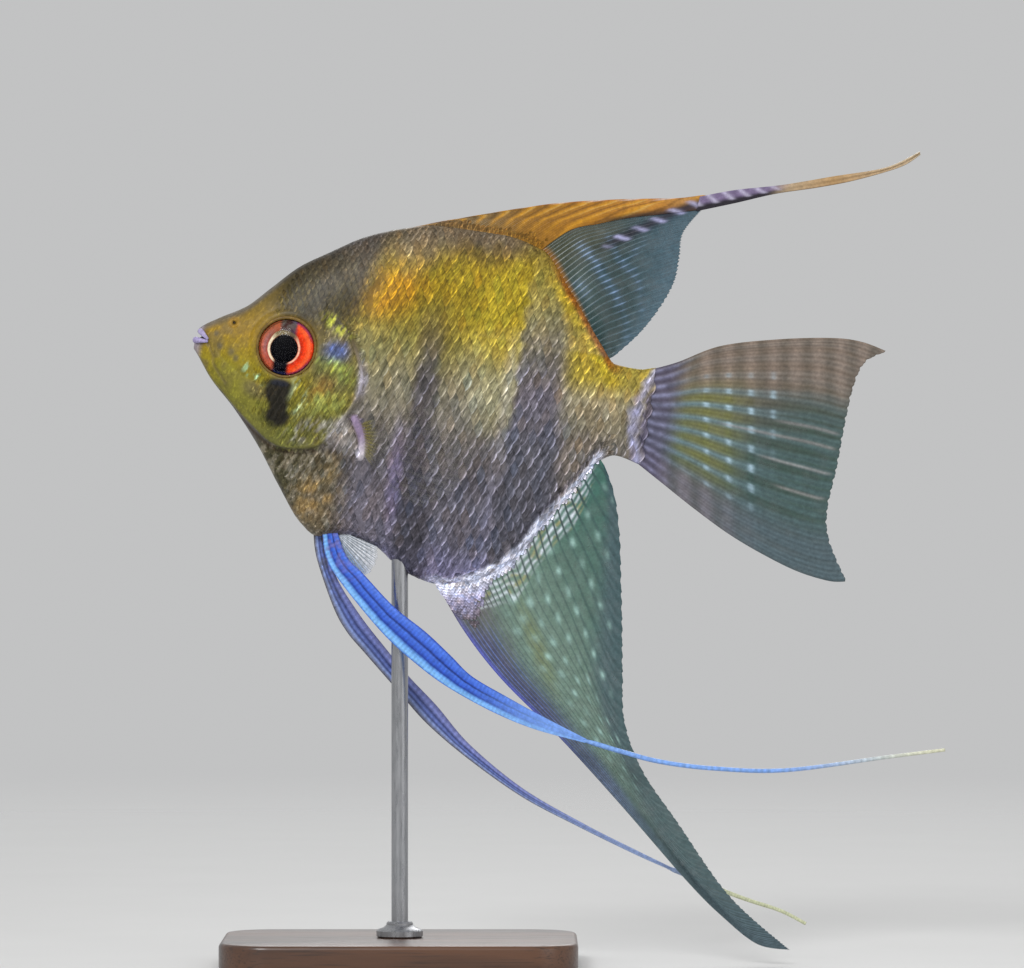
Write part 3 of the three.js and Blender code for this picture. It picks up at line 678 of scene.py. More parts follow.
# ---- Materials -------------------------------------------------------------------------------
class Nodes:
    """A material's node tree, built node by node."""

    def __init__(self, name):
        self.material = bpy.data.materials.new(name)
        self.material.use_nodes = True
        self.tree = self.material.node_tree
        self.shader = self.tree.nodes["Principled BSDF"]
        self.output = self.tree.nodes["Material Output"]

    def add(self, kind, inputs=None, **settings):
        node = self.tree.nodes.new(kind)
        for key, value in settings.items():
            setattr(node, key, value)
        for key, value in (inputs or {}).items():
            self.put(node.inputs[key], value)
        return node

    def put(self, socket, value):
        if isinstance(value, bpy.types.NodeSocket):
            self.tree.links.new(value, socket)
        else:
            socket.default_value = value

    def set(self, **values):
        for key, value in values.items():
            self.put(self.shader.inputs[key.replace("_", " ")], value)

    def noise(self, scale, detail=3, vector=None, distortion=0.0):
        inputs = {"Scale": scale, "Detail": detail, "Distortion": distortion}
        inputs["Vector"] = vector or self.place()
        return self.add("ShaderNodeTexNoise", inputs).outputs["Fac"]

    def place(self):
        return self.add("ShaderNodeTexCoord").outputs["Object"]

    def stretched(self, slant, longer):
        """Object coordinates drawn out along a slant in the side view, in degrees from level."""
        turn = {"Vector": self.place(), "Rotation": (0, math.radians(slant), 0)}
        turned = self.add("ShaderNodeMapping", turn).outputs["Vector"]
        squeeze = {"Vector": turned, "Scale": (1 / longer, 1, 1)}
        return self.add("ShaderNodeMapping", squeeze).outputs["Vector"]

    def span(self, value, low, high, to_low=0.0, to_high=1.0):
        names = ("Value", "From Min", "From Max", "To Min", "To Max")
        inputs = dict(zip(names, (value, low, high, to_low, to_high)))
        return self.add("ShaderNodeMapRange", inputs).outputs[0]

    def varied(self, low, high, scale, detail=3):
        """A value that wanders between low and high."""
        return self.span(self.noise(scale, detail), 0.3, 0.7, low, high)

    def drawn_out(self, scales, detail, distortion=0.0):
        """A noise with a scale of its own along each axis."""
        mapping = self.add("ShaderNodeMapping", {"Vector": self.place(), "Scale": scales})
        return self.noise(1.0, detail, mapping.outputs["Vector"], distortion)

    def maths(self, operation, a, b):
        node = self.add("ShaderNodeMath", operation=operation)
        self.put(node.inputs[0], a)
        self.put(node.inputs[1], b)
        return node.outputs[0]

    def blend(self, share, a, b, kind="MIX"):
        node = self.add("ShaderNodeMix", data_type="RGBA", blend_type=kind)
        for socket, value in zip((node.inputs[0], node.inputs[6], node.inputs[7]), (share, a, b)):
            self.put(socket, value)
        return node.outputs[2]

    def grey(self, value):
        return self.add("ShaderNodeCombineColor", {0: value, 1: value, 2: value}).outputs[0]

    def surface(self, share, a, b):
        """Show one shader over another instead of the plain one."""
        cover = self.add("ShaderNodeMixShader", {0: share, 1: a.outputs[0], 2: b.outputs[0]})
        self.put(self.output.inputs["Surface"], cover.outputs[0])

    def bumped(self, height, distance, strength):
        inputs = {"Height": height, "Distance": distance, "Strength": strength}
        return self.add("ShaderNodeBump", inputs).outputs["Normal"]

    def tint(self):
        return self.add("ShaderNodeAttribute", attribute_name="tint")

    def tinted(self, share):
        """The mesh's own tint, times a share."""
        return self.multiplied(self.tint().outputs["Color"], self.grey(share))

    def multiplied(self, a, b):
        return self.blend(1.0, a, b, "MULTIPLY")


def rgba(*tone):
    """A tone for a shader's colour socket."""
    return (*map(float, linear(tone)), 1.0)


def skin_material():
    """Moist skin, tinted by the mesh, with fine slanted streaks of light."""
    n = Nodes("skin")
    colour = n.tinted(n.maths("MULTIPLY", n.varied(0.8, 1.2, 1500), n.varied(0.86, 1.14, 320)))
    streaks = n.noise(3000, 2, n.stretched(SLANT, 4))
    lit = n.multiplied(colour, (2.0, 2.0, 1.9, 1.0))
    n.set(Base_Color=n.blend(n.span(streaks, 0.56, 0.74, 0, 0.6), colour, lit))
    n.set(Roughness=n.varied(0.42, 0.58, 700), Specular_IOR_Level=0.22)
    n.set(Coat_Weight=0.05, Coat_Roughness=0.2)
    height = n.maths("ADD", n.noise(1300), n.maths("MULTIPLY", streaks, 0.8))
    n.set(Normal=n.bumped(height, 0.0001, 0.6))
    return n.material


def scale_material():
    """Scales with a faint metallic lustre, tinted by the mesh, with painted glints in streaks and
    specks.
    """
    n = Nodes("scales")
    # Painted glints: slanted streaks that lighten and darken the tint, and specks of a lighter tint.
    painted_glint_streaks = n.span(n.noise(3300, 2, n.stretched(SLANT, 5)), 0.32, 0.68, 0.6, 1.45)
    colour = n.tinted(n.maths("MULTIPLY", n.varied(0.82, 1.18, 1300), painted_glint_streaks))
    painted_glint_specks = n.span(n.noise(2700, 2, n.stretched(SLANT, 6)), 0.6, 0.72, 0, 0.75)
    n.set(Base_Color=n.blend(painted_glint_specks, colour, n.multiplied(colour, (2.2, 2.2, 2.2, 1.0))), Metallic=0.35)
    n.set(Roughness=n.varied(0.38, 0.52, 900), Specular_IOR_Level=0.2)
    n.set(Coat_Weight=0.05, Coat_Roughness=0.2)
    n.set(Normal=n.bumped(n.noise(2600, 2), 0.00004, 0.5))
    return n.material


def fin_material(name, clear=True, roughness=0.34):
    """A fin's rays and web: the mesh carries the colours, and how clear the web is."""
    n = Nodes(name)
    joints = n.span(n.noise(2600, 1), 0.35, 0.65, 0.94, 1.08)
    colour = n.tinted(n.maths("MULTIPLY", n.varied(0.86, 1.16, 1200, 4), joints))
    n.set(Base_Color=colour, Roughness=n.varied(roughness - 0.06, roughness + 0.08, 800))
    if clear:
        n.set(Alpha=n.maths("MULTIPLY", n.tint().outputs["Alpha"], n.varied(0.9, 1.1, 420)))
    n.set(Specular_IOR_Level=0.25, Coat_Weight=0.12, Coat_Roughness=0.18)
    n.set(Normal=n.bumped(n.noise(2200), 0.00004, 0.6))
    return n.material


def iris_material():
    """The eyeball, tinted by the mesh."""
    n = Nodes("iris")
    n.set(Base_Color=n.tinted(n.varied(0.8, 1.22, 2200, 4)), Roughness=0.5, Specular_IOR_Level=0.05)
    n.set(Normal=n.bumped(n.noise(3000), 0.00006, 0.6))
    return n.material


def cornea_material():
    """A clear, wet dome: all it shows is its gloss."""
    n = Nodes("cornea")
    gloss = n.add("ShaderNodeBsdfGlossy", {"Color": (1, 1, 1, 1), "Roughness": 0.08})
    clear = n.add("ShaderNodeBsdfTransparent", {"Color": (1, 1, 1, 1)})
    share = n.add("ShaderNodeFresnel", {"IOR": 1.1}).outputs[0]
    n.surface(share, clear, gloss)
    n.tree.nodes.remove(n.shader)
    return n.material


def wood_material():
    """Dark walnut with fine pores along its grain."""
    n = Nodes("walnut")
    figure = n.drawn_out((14, 150, 150), 6, 0.6)
    fine = n.drawn_out((90, 2600, 2600), 3)
    colour = n.blend(n.span(figure, 0.32, 0.66), rgba(46, 28, 19), rgba(96, 62, 40))
    n.set(Base_Color=n.blend(n.span(fine, 0.52, 0.7, 0, 0.55), colour, rgba(26, 16, 11)))
    n.set(Roughness=n.span(fine, 0.3, 0.7, 0.3, 0.46), Normal=n.bumped(fine, 0.00008, 0.5))
    n.set(Coat_Weight=0.4, Coat_Roughness=0.22)
    return n.material


def steel_material():
    """Steel brushed round the rod."""
    n = Nodes("brushed_steel")
    brushed = n.drawn_out((2400, 2400, 240), 4)
    n.set(Base_Color=n.blend(brushed, rgba(136, 138, 142), rgba(190, 191, 194)), Metallic=1.0)
    n.set(Roughness=n.span(brushed, 0.3, 0.7, 0.22, 0.4), Normal=n.bumped(brushed, 0.00003, 0.5))
    return n.material


SKIN, SCALES = skin_material(), scale_material()
FIN, BLUE_FIN = fin_material("fin_web"), fin_material("fin_blue", clear=False, roughness=0.28)
SPINY_FIN = fin_material("fin_orange", clear=False)
IRIS, CORNEA = iris_material(), cornea_material()
WOOD, STEEL = wood_material(), steel_material()


# ---- The skin --------------------------------------------------------------------------------
def gaze_frame(side):
    """The eye's centre, its axes towards the tail and upwards, and the way it looks."""
    forward, upward = math.radians(GAZE["forward"]), math.radians(GAZE["upward"])
    gaze = np.array([-math.sin(forward), side * math.cos(forward), math.sin(upward)])
    gaze /= np.linalg.norm(gaze)
    tailward = np.cross([0, 0, 1.0], gaze) * -side
    tailward /= np.linalg.norm(tailward)
    up = np.array([0, 0, 1.0]) - gaze[2] * gaze
    centre = np.array([EYE_AT[0], side * EYE_SEAT, EYE_AT[1]])
    return centre, tailward, up / np.linalg.norm(up), gaze


def unwrap(u, share, side):
    """A place on the bake's map: along the fish, and round it from the belly (0) to the back (1)."""
    across = 0.02 + 0.44 * share
    return np.stack([0.02 + 0.96 * u / BODY_END, across if side < 0 else 1 - across], axis=-1)


def skin_sheet():
    """The whole skin as rings round the body: points, tints, bake map and triangles."""
    stations = np.concatenate([
        np.linspace(0.5, 4, 28, endpoint=False),
        np.linspace(4, 34, 134, endpoint=False),
        np.linspace(34, BODY_END, 80),
    ])
    even = np.linspace(-1, 1, 151)
    rise = 0.55 * even + 0.45 * np.sin(even * math.pi / 2)
    u, level = np.meshgrid(stations, rise, indexing="ij")
    y, v = flank(u, level)
    y = with_socket(u, y, v)
    y[:, 0] = y[:, -1] = 0
    gap = 1.1 * bump(v, 1.25, 0.5) * soft(3, 0.5, u)
    tint = body_tint(u, v)
    share = (level + 1) / 2
    maps = [unwrap(u, share, side) for side in (-1, 1)]
    inner = slice(-2, 0, -1)
    points = np.concatenate([
        np.stack([u + gap, -y, v], axis=-1),
        np.stack([u + gap, y, v], axis=-1)[:, inner],
    ], axis=1)
    tints = np.concatenate([tint, tint[:, inner]], axis=1)
    patch = np.concatenate([maps[0], maps[1][:, inner]], axis=1)
    rows, columns, n = len(stations), 2 * len(rise) - 2, len(rise)
    faces = [ring_sides(rows, columns)]
    left = np.arange(n)
    right = (columns - left) % columns
    for first, order in ((0, 1), ((rows - 1) * columns, -1)):
        caps = np.stack([left[:-1], right[:-1], right[1:], left[1:]], axis=1) + first
        cap = triangles(caps)
        cap = cap[(cap[:, 0] != cap[:, 1]) & (cap[:, 1] != cap[:, 2]) & (cap[:, 0] != cap[:, 2])]
        faces.append(cap[:, ::order])
    flat = (points.reshape(-1, 3), tints.reshape(-1, 3), patch.reshape(-1, 2))
    return (*flat, np.concatenate(faces))


def lip(front, corner, radius, side_radius):
    """A rounded lip from one mouth corner round the front to the other."""
    turn = np.linspace(-1, 1, 41)
    round_it = np.sign(turn) * np.sin(np.abs(turn) * math.pi / 2) ** 0.85
    back_by = 1 - np.cos(turn * math.pi / 2) ** 0.9
    path = np.stack([
        front[0] + (corner[0] - front[0]) * back_by,
        corner[1] * round_it,
        front[1] + (corner[2] - front[1]) * back_by,
    ], axis=1)
    return tube(path, side_radius + (radius - side_radius) * np.cos(turn * math.pi / 2) ** 0.8, 14)


def orbit(side):
    """The soft rim of skin round the eye."""
    centre, tailward, up, gaze = gaze_frame(side)
    around, columns = 96, 12
    turn, section = circle(around), circle(columns)
    reach = EYE_RADIUS + 0.17
    out = np.cos(turn)[:, None] * tailward + np.sin(turn)[:, None] * up
    radius = 0.27 + 0.05 * np.sin(turn)
    rings = (centre + out * reach + gaze * 0.42)[:, None] + radius[:, None, None] * (
        np.cos(section)[None, :, None] * out[:, None] + np.sin(section)[None, :, None] * gaze
    )
    i, k = np.meshgrid(np.arange(around), np.arange(columns), indexing="ij")
    next_i, next_k = (i + 1) % around, (k + 1) % columns
    a, b = i * columns + k, i * columns + next_k
    c, d = next_i * columns + k, next_i * columns + next_k
    quads = np.stack([a.ravel(), b.ravel(), d.ravel(), c.ravel()], axis=1)
    return rings.reshape(-1, 3), triangles(quads)


LIPS = [                              # each lip's form, as lip() takes it, and its tone
    ((1.28, 2.12), (2.9, 2.15, 0.85), 0.56, 0.2, (168, 158, 196)),
    ((0.66, 0.42), (2.95, 2.1, 0.5), 0.62, 0.2, (160, 150, 190)),
]
ORBIT_TONE = (112, 88, 40)


def make_skin():
    """The skin with its lips and the rims of its eyes as one mesh."""
    points, tints, patch, faces = skin_sheet()
    parts = [(points, tints, patch, outwards(points, faces))]
    extras = [(*lip(*form), tone) for *form, tone in LIPS]
    extras += [(*orbit(side), ORBIT_TONE) for side in SIDES.values()]
    for number, (points, faces, tone) in enumerate(extras):
        uneven = 1 + 0.16 * mottle(points[:, 0] * 3, points[:, 2] * 3 + points[:, 1], 1.4, 1)
        corner = np.column_stack([
            0.02 + 0.2 * number + 0.015 * points[:, 1] + 0.006 * points[:, 0],
            0.5 + 0.003 * (points[:, 2] - points[:, 2].mean()),
        ])
        parts.append((points, linear(tone) * uneven[:, None], corner, outwards(points, faces)))
    points, tints, patch, faces = joined(parts)
    nodes = ["head", "upper_lip", "lower_jaw", "trunk", "tail_stem"]
    nodes += [f"gill_cover_{side_name}" for side_name in SIDES]
    return make_piece("skin", place(points), faces, SKIN, "skin", tints, patch, replaced=nodes)


make_skin()


# ---- Scales ----------------------------------------------------------------------------------
def shield(steps, columns):
    """One scale's own shape, a domed plate with a round rear edge: its points and triangles.

    A point is x, y and height in parts of the scale's size, and how far along and across it is.
    """
    grids = np.meshgrid(steps, np.linspace(-1, 1, columns), indexing="ij")
    along, across = (grid.ravel() for grid in grids)
    root = -0.72
    rear = 0.76 * np.clip(1 - np.abs(across) ** 1.8, 0, 1) ** 0.72
    x = root + along * (rear - root)
    y = across * (0.72 + 0.28 * np.sin(along * math.pi / 2))
    height = -0.12 + 0.2 * soft(-0.8, 0.75, x) - 0.05 * y**2
    top = np.stack([x, y, height, along, across], axis=1)
    rim = sheet_rim(len(steps), columns)
    low = top[rim] - [0, 0, 0.06, 0, 0]
    hub = [[0, 0, -0.2, 0.5, 0]]
    under = len(top) + np.arange(len(rim))
    after, under_after = np.roll(rim, -1), np.roll(under, -1)
    wall = triangles(np.stack([rim, under, under_after, after], axis=1))
    floor = np.stack([np.full(len(rim), len(top) + len(rim)), under_after, under], axis=1)
    faces = np.concatenate([sheet_faces(len(steps), columns), wall, floor])
    return np.concatenate([top, low, hub]), faces


# The colours added in the painted glints on the scales, on gold scales and on pale ones.
GOLD_GLINT, PALE_GLINT = (62, 56, 20), (124, 121, 142)


def varied(rng, count, spread, drift=0.045):
    """How much lighter and warmer or cooler each of many scales is than its place."""
    warmth = rng.normal(0, drift, (count, 1)) * [1, 0.1, -1]
    return rng.uniform(1 - spread, 1 + spread, (count, 1)) * (1 + warmth)


def lay_scales(shape, surface, normal, roots, heading, size, tint_of, tone, shine, maps):
    """Points, tints, bake map and triangles of many scales. roots and size are [along, across]."""
    own, own_faces = shape
    x, y = own[None, :, 0] * size[:, :1], own[None, :, 1] * size[:, 1:]
    c, s = np.cos(heading)[:, None], np.sin(heading)[:, None]
    a, b = roots[:, :1] + x * c - y * s, roots[:, 1:] + x * s + y * c
    height = own[None, :, 2] * (size.mean(axis=1, keepdims=True) / 1.25) * 0.5
    points = surface(a, b) + normal(a, b) * height[..., None]
    base = tint_of(points[..., 0], points[..., 2]) * tone[:, None]
    along, across = own[None, :, 3], own[None, :, 4]
    # Painted glint on each scale's lower rear edge; painted shade on its upper rear edge and its root.
    glint = soft(0.86, 0.95, along) * soft(0.3, -0.1, across) * soft(-1.0, -0.85, across)
    glint = np.clip(glint * shine[:, None], 0, 1)
    shadow = soft(0.8, 0.98, along) * soft(-0.05, 0.4, across)
    body = base * (0.76 + 0.16 * soft(0.4, 0.8, along) - 0.34 * shadow)[..., None]
    brightest = base.max(axis=-1)
    pale = 1 - np.clip((brightest - base.min(axis=-1)) / brightest * 1.3, 0, 1)
    light = base * 2 + mix(GOLD_GLINT, PALE_GLINT, pale) * soft(0.02, 0.14, brightest)[..., None]
    colours = mix(body, light, glint)
    patch = maps[:, None] + 0.0012 * own[None, :, :2]
    faces = (own_faces[None] + np.arange(len(roots))[:, None, None] * len(own)).reshape(-1, 3)
    return points.reshape(-1, 3), colours.reshape(-1, 3), patch.reshape(-1, 2), faces


def lattice(row_step, step, jitter, rng):
    """Staggered rows of scale roots over the unrolled flank."""
    rows = np.arange(-44, 40, row_step)
    columns = np.arange(1, BODY_END + 1, step)
    girth, u = np.meshgrid(rows, columns, indexing="ij")
    u = u + (np.arange(len(rows)) % 2)[:, None] * step / 2
    shift = rng.uniform(-jitter, jitter, (2, *u.shape)) * step
    return (u + shift[0]).ravel(), (girth + shift[1] * 0.6).ravel()


TRUNK_FRONT = profile([               # over v, the u where the trunk's full-sized scales begin
    [-31, 36], [-24, 33.5], [-15, 32.4], [-9, 33.2], [-2, 32.8], [5, 30.8], [12, 30], [20, 33], [26, 38],
])
SNOUT_END = profile([[-14, 15.5], [-10, 12.4], [-4, 11.6], [2, 13], [8, 13.5], [14, 16]])


def big_scales(u, v):
    """Where the trunk's full-sized scales lie: behind the head, nape and breast, clear of the fins."""
    behind = u > TRUNK_FRONT(v)
    return behind & (back(u) - v > 2.2 * soft(30, 36, u)) & ~silver_scales(u, v) & ~on_arm(u, v)


def silver_scales(u, v):
    """The strip of narrow silver scales along the anal fin's base."""
    return (u > 48) & (u < 77) & (v - belly(u) < 2.5 * np.hypot(1, 1.3 * soft(60, 66, u)))


def small_scales(u, v):
    """Everywhere else on the fish: its head, nape and breast, and close to its fins."""
    return ~big_scales(u + 0.4, v) & ~no_scales(u, v) & ~silver_scales(u, v)


def no_scales(u, v):
    """The bare snout, lips, chin, eye and rim of the gill cover."""
    snout = u < SNOUT_END(v)
    eye = distance(u, v, EYE_AT) < 6.5
    edge, along = beside(u, v, cover_edge)
    rim = (edge < 0.4) & (edge > -0.9) & (along > 0.08) & (along < 0.97)
    return snout | eye | rim | on_arm(u, v)


def on_arm(u, v):
    """The bare fold of skin that the pectoral fin grows from."""
    arm, _ = beside(u, v, pectoral_root)
    return np.abs(arm) < 1.25


def flank_heading(u, v):
    """The way the scales point: along the body, bending a little to follow its outlines."""
    over, under = (np.clip(steepness(outline, u), -0.9, 0.9) for outline in (back, belly))
    rise = rise_at(u, v)
    share = np.clip(np.abs(rise), 0, 1) ** 1.6
    return np.arctan(np.where(rise > 0, over, under) * share * 0.6)


def scales_on_flank(name, side, wanted, shape, row_step, step, shrink, seed, heading_of, vary):
    """One coat of scales on one side. shrink is by how much they get smaller between two u."""
    rng = np.random.default_rng(seed)
    u, girth = lattice(row_step, step, 0.05, rng)
    on_body = (u > 1) & (u < BODY_END - 0.6)
    u, girth = u[on_body], girth[on_body]
    low, high = girth_ends(u)
    inside = (girth > low - 0.15) & (girth < high + 0.15)
    u, girth = u[inside], girth[inside]
    v = on_flank(u, girth)[:, 2]
    keep = wanted(u, v)
    u, girth, v = u[keep], girth[keep], v[keep]
    low, high = girth_ends(u)
    heading = heading_of(u, v)
    share, start, end = shrink
    scale = (1 - share * soft(start, end, u))[:, None] * rng.uniform(0.94, 1.06, (len(u), 1))
    size = np.array([step * 1.32, row_step * 1.12]) * scale
    tone = varied(rng, len(u), vary)
    shine = rng.uniform(0.15, 1.0, len(u)) * (0.85 + 0.35 * mottle(u, v, 5, 2))
    maps = unwrap(u, (girth - low) / (high - low), side)
    roots = np.stack([u, girth], axis=1)
    points, tints, patch, faces = lay_scales(
        shape, on_flank, flank_normal, roots, heading, size, tint_at, tone, shine, maps,
    )
    return make_piece(name, place(points * [1, side, 1]), faces, SCALES, "skin", tints, patch, sharp=50)


def along_base(u, v):
    """The way the anal fin's base runs."""
    return np.arctan(steepness(belly, u, 1))


BIG, SMALL = shield([0, 0.45, 0.72, 0.88, 0.94, 1], 11), shield([0, 0.55, 0.8, 0.9, 1], 7)
COATS = [       # name and then what scales_on_flank takes after the side
    ("scales", big_scales, BIG, 2.03, 1.66, (0.18, 68, 78), SEED + 11, flank_heading, 0.19),
    ("scales_small", small_scales, SMALL, 1.2, 1.15, (0.2, 24, 14), SEED + 12, flank_heading, 0.18),
    ("scales_silver", silver_scales, SMALL, 0.5, 1.7, (0, 0, 1), SEED + 13, along_base, 0.5),
]

for side_name, side in SIDES.items():
    for name, *plan in COATS:
        scales_on_flank(f"{name}_{side_name}", side, *plan)


# ---- Eyes ------------------------------------------------------------------------------------
def eye_tint(r, turn, u, v):
    """The iris, its pale ring and dark bars, and the pupil. turn is 0 towards the tail."""
    rear, upper = 0.5 + 0.5 * np.cos(turn), np.sin(turn)
    colour = layers(
        (196, 92, 54),
        ((236, 60, 20), soft(0.25, 0.75, rear)),
        ((150, 116, 122), 0.7 * bump(r, 0.7, 0.13) * soft(0.35, 0, rear)),
        ((180, 80, 54), 0.6 * soft(0.5, 0.2, rear) * soft(0, -0.6, upper)),
        # Painted highlight on the iris's rear rim.
        ((250, 116, 62), 0.6 * bump(r, 0.84, 0.08) * soft(0.45, 0.9, rear)),
        ((150, 30, 14), 0.6 * bump(r, 0.6, 0.07)),
    )
    streaks = mottle(turn * 32 / math.pi, r * 4, 1, 2) * 0.12 + mottle(u, v, 0.3, 1) * 0.08
    colour = colour * (1 + streaks)[..., None]
    above = bar(u, -0.05, 1.5, 0.4) * soft(0, 0.6, v)
    below = bar(u, -0.5, 1.4, 0.4) * soft(0, -0.6, v)
    fold = bump(r, 0.9, 0.025) + soft(0.95, 0.985, r)
    # violet: a painted shadow on the rear of the eye's outer rim, above and below.
    violet = soft(0.86, 0.95, r) * soft(0.5, 0.7, rear) * soft(0.2, 0.6, np.abs(upper))
    thick = 0.03 + 0.018 * soft(0.6, 0.2, rear) + 0.025 * soft(0.4, 0.9, upper)
    ring = bar(r, PUPIL_RADIUS + 0.02 + thick, thick, 0.02) * (1 - below)
    cream = mix((246, 228, 194), (120, 106, 70), soft(0.45, 0.9, upper))
    return layers(
        colour,
        ((112, 78, 50), 0.45 * soft(0.5, 0.2, rear) * soft(0.1, 0.7, upper)),
        (mix((38, 34, 34), (46, 44, 68), soft(0, 1, u)), 0.95 * above),
        ((104, 98, 92), 0.6 * above * soft(0, 0.5, mottle(u, v, 0.5, 3, 2, SLANT)) * soft(0.6, 0.8, r)),
        ((4, 4, 14), below),
        ((40, 46, 90), 0.8 * below * soft(0.82, 0.95, r)),
        ((62, 46, 24), 0.8 * np.clip(fold, 0, 1) * soft(0.6, 0.3, rear) * (1 - below)),
        ((58, 34, 28), 0.6 * soft(0.965, 0.995, r)),
        # Painted shadow on the rear of the eye's outer rim.
        ((62, 52, 104), 0.75 * violet),
        (cream, ring * (0.6 + 0.4 * soft(0.7, 0.3, rear))),
        ((2, 2, 6), soft(PUPIL_RADIUS + 0.02, PUPIL_RADIUS, r)),
    )


def make_eye(side_name, side):
    """The eyeball with its iris and pupil, and the clear cornea over it."""
    centre, tailward, up, gaze = gaze_frame(side)
    pupil = PUPIL_RADIUS
    front = np.concatenate([[0.001], np.linspace(0.06, pupil, 10), np.linspace(pupil + 0.012, 1, 44)])
    lens = 0.62 + 0.35 * np.sqrt(np.clip(1 - (front / pupil) ** 2, 0, 1))
    bowl = np.interp(front, [pupil, 0.5, 0.7, 0.88, 0.96, 1], [0.66, 0.8, 0.86, 0.62, 0.34, 0])
    shape = np.where(front <= pupil, lens, bowl)
    turn = circle(120)
    out = np.cos(turn)[:, None] * tailward + np.sin(turn)[:, None] * up

    def rings(r, height, shift):
        offset = shift[:, :1] * tailward + shift[:, 1:] * up + height[:, None] * gaze
        points = centre + r[:, None, None] * EYE_RADIUS * out + offset[:, None]
        return place(points.reshape(-1, 3)), capped_rings(len(r), len(turn))

    r = np.concatenate([front, [0.85, 0.56, 0.2, 0.001]])
    height = np.concatenate([shape, [-1.6, -2.6, -2.95, -3]])
    centred = np.where(np.arange(len(r)) < len(front), np.clip((1 - r) / (1 - pupil), 0, 1), 0)
    shift = centred[:, None] * PUPIL_AT
    u = r[:, None] * EYE_RADIUS * np.cos(turn) + shift[:, :1]
    v = r[:, None] * EYE_RADIUS * np.sin(turn) + shift[:, 1:]
    tint = eye_tint(np.repeat(r[:, None], len(turn), 1), np.repeat(turn[None], len(r), 0), u, v)
    tint = tint.reshape(-1, 3)
    eye = f"eye_{side_name}"
    make_piece(f"{eye}_ball", *rings(r, height, shift), IRIS, "eye", tint, replaced=[eye])
    slope = np.linspace(0.001, 1, 25) * math.pi / 2
    r = np.concatenate([0.97 * np.sin(slope), 0.955 * np.sin(slope[::-1])])
    height = np.concatenate([0.3 + 1.45 * np.cos(slope), 0.24 + 1.45 * np.cos(slope[::-1])])
    make_piece(f"{eye}_cornea", *rings(r, height, np.zeros((len(r), 2))), CORNEA, "eye")


for side_name, side in SIDES.items():
    make_eye(side_name, side)


# ---- Fins ------------------------------------------------------------------------------------
def fin_edges(foot, margin, leading, trailing):
    """A fin's four edges: foot and margin run over s, leading and trailing over t."""
    lead = through([foot(0.0), *leading, margin(0.0)])
    trail = through([foot(1.0), *trailing, margin(1.0)])
    return {"foot": foot, "margin": margin, "leading": lead, "trailing": trail}


def swept(power, points):
    """A margin whose rays are swept back: they crowd towards its first point."""
    curve = through(points)
    return lambda s: curve(np.asarray(s, float) ** power)


def between(edges, s, t):
    """The place [u, v] in a fin at s along its foot and t out along its rays."""
    foot, margin, leading, trailing = (edges[k] for k in ("foot", "margin", "leading", "trailing"))
    a, b = s[..., None], t[..., None]
    corners = (
        (1 - a) * (1 - b) * foot(0.0) + a * (1 - b) * foot(1.0)
        + (1 - a) * b * margin(0.0) + a * b * margin(1.0)
    )
    return (1 - b) * foot(s) + b * margin(s) + (1 - a) * leading(t) + a * trailing(t) - corners


def ray_profile(s, t, rays, first_fork=0.35, second_fork=0.7, spread=0.25, width=0.13):
    """How much a place is ray (1) rather than web (0). Each ray forks twice on its way out."""
    off = np.abs((s * rays) % 1 - 0.5)
    off = np.abs(off - spread * soft(first_fork, 1.1, t))
    off = np.abs(off - spread / 2 * soft(second_fork, 1.2, t))
    return np.exp(-((off / (width * (1 - 0.45 * t))) ** 2))


def fin(
    name, edges, steps, middle, half, colour, rays, material, slot, replaced=(), notch=0.35, crowd=1,
    **ray_options,
):
    """A fin as one closed sheet, ribbed by its rays. steps are along its foot and out along its rays."""
    s, t = np.meshgrid(np.linspace(0, 1, steps[0]), np.linspace(0, 1, steps[1]) ** crowd)
    ray = ray_profile(s, t, rays, **ray_options)
    end = ray_profile(s, np.ones_like(t), rays, **ray_options)
    reach = np.linalg.norm(edges["margin"](s) - edges["foot"](s), axis=-1)
    trimmed = t * (1 - notch / reach * (1 - end) * soft(0.7, 1, t))
    u, v = np.moveaxis(between(edges, s, trimmed), -1, 0)
    y, thick = middle(s, t, u, v), half(s, t, ray)
    sides = [np.stack([u, y + way * thick, v], axis=-1).reshape(-1, 3) for way in (-1, 1)]
    tint = np.tile(colour(s, t, u, v, ray).reshape(-1, 4), (2, 1))
    points = place(np.concatenate(sides))
    return make_piece(name, points, two_sided(*steps[::-1]), material, slot, tint, replaced=replaced)


def flesh(foot_half, s, t):
    """How much of the body's flesh thickens a fin near its foot."""
    return foot_half * np.sqrt(np.clip(1 - t / 0.5, 0, 1)) * (0.4 + 0.6 * np.sin(math.pi * s))


def upright(foot_half, web, ridge, sway):
    """The middle and half thickness of an upright fin that thins towards its margin."""
    def middle(s, t, u, v):
        ripple = 0.22 * np.sin(s * 9 + t * 3) * t**1.5
        return sway * t * t + ripple

    def half(s, t, ray):
        return web * (1 - 0.3 * t) + flesh(foot_half, s, t) + ridge * ray * (1 - 0.6 * t)

    return middle, half


def with_alpha(colour, alpha):
    """A colour with how solid it is."""
    alpha = np.broadcast_to(np.clip(alpha, 0, 1), colour.shape[:-1])
    return np.concatenate([colour, alpha[..., None]], axis=-1)


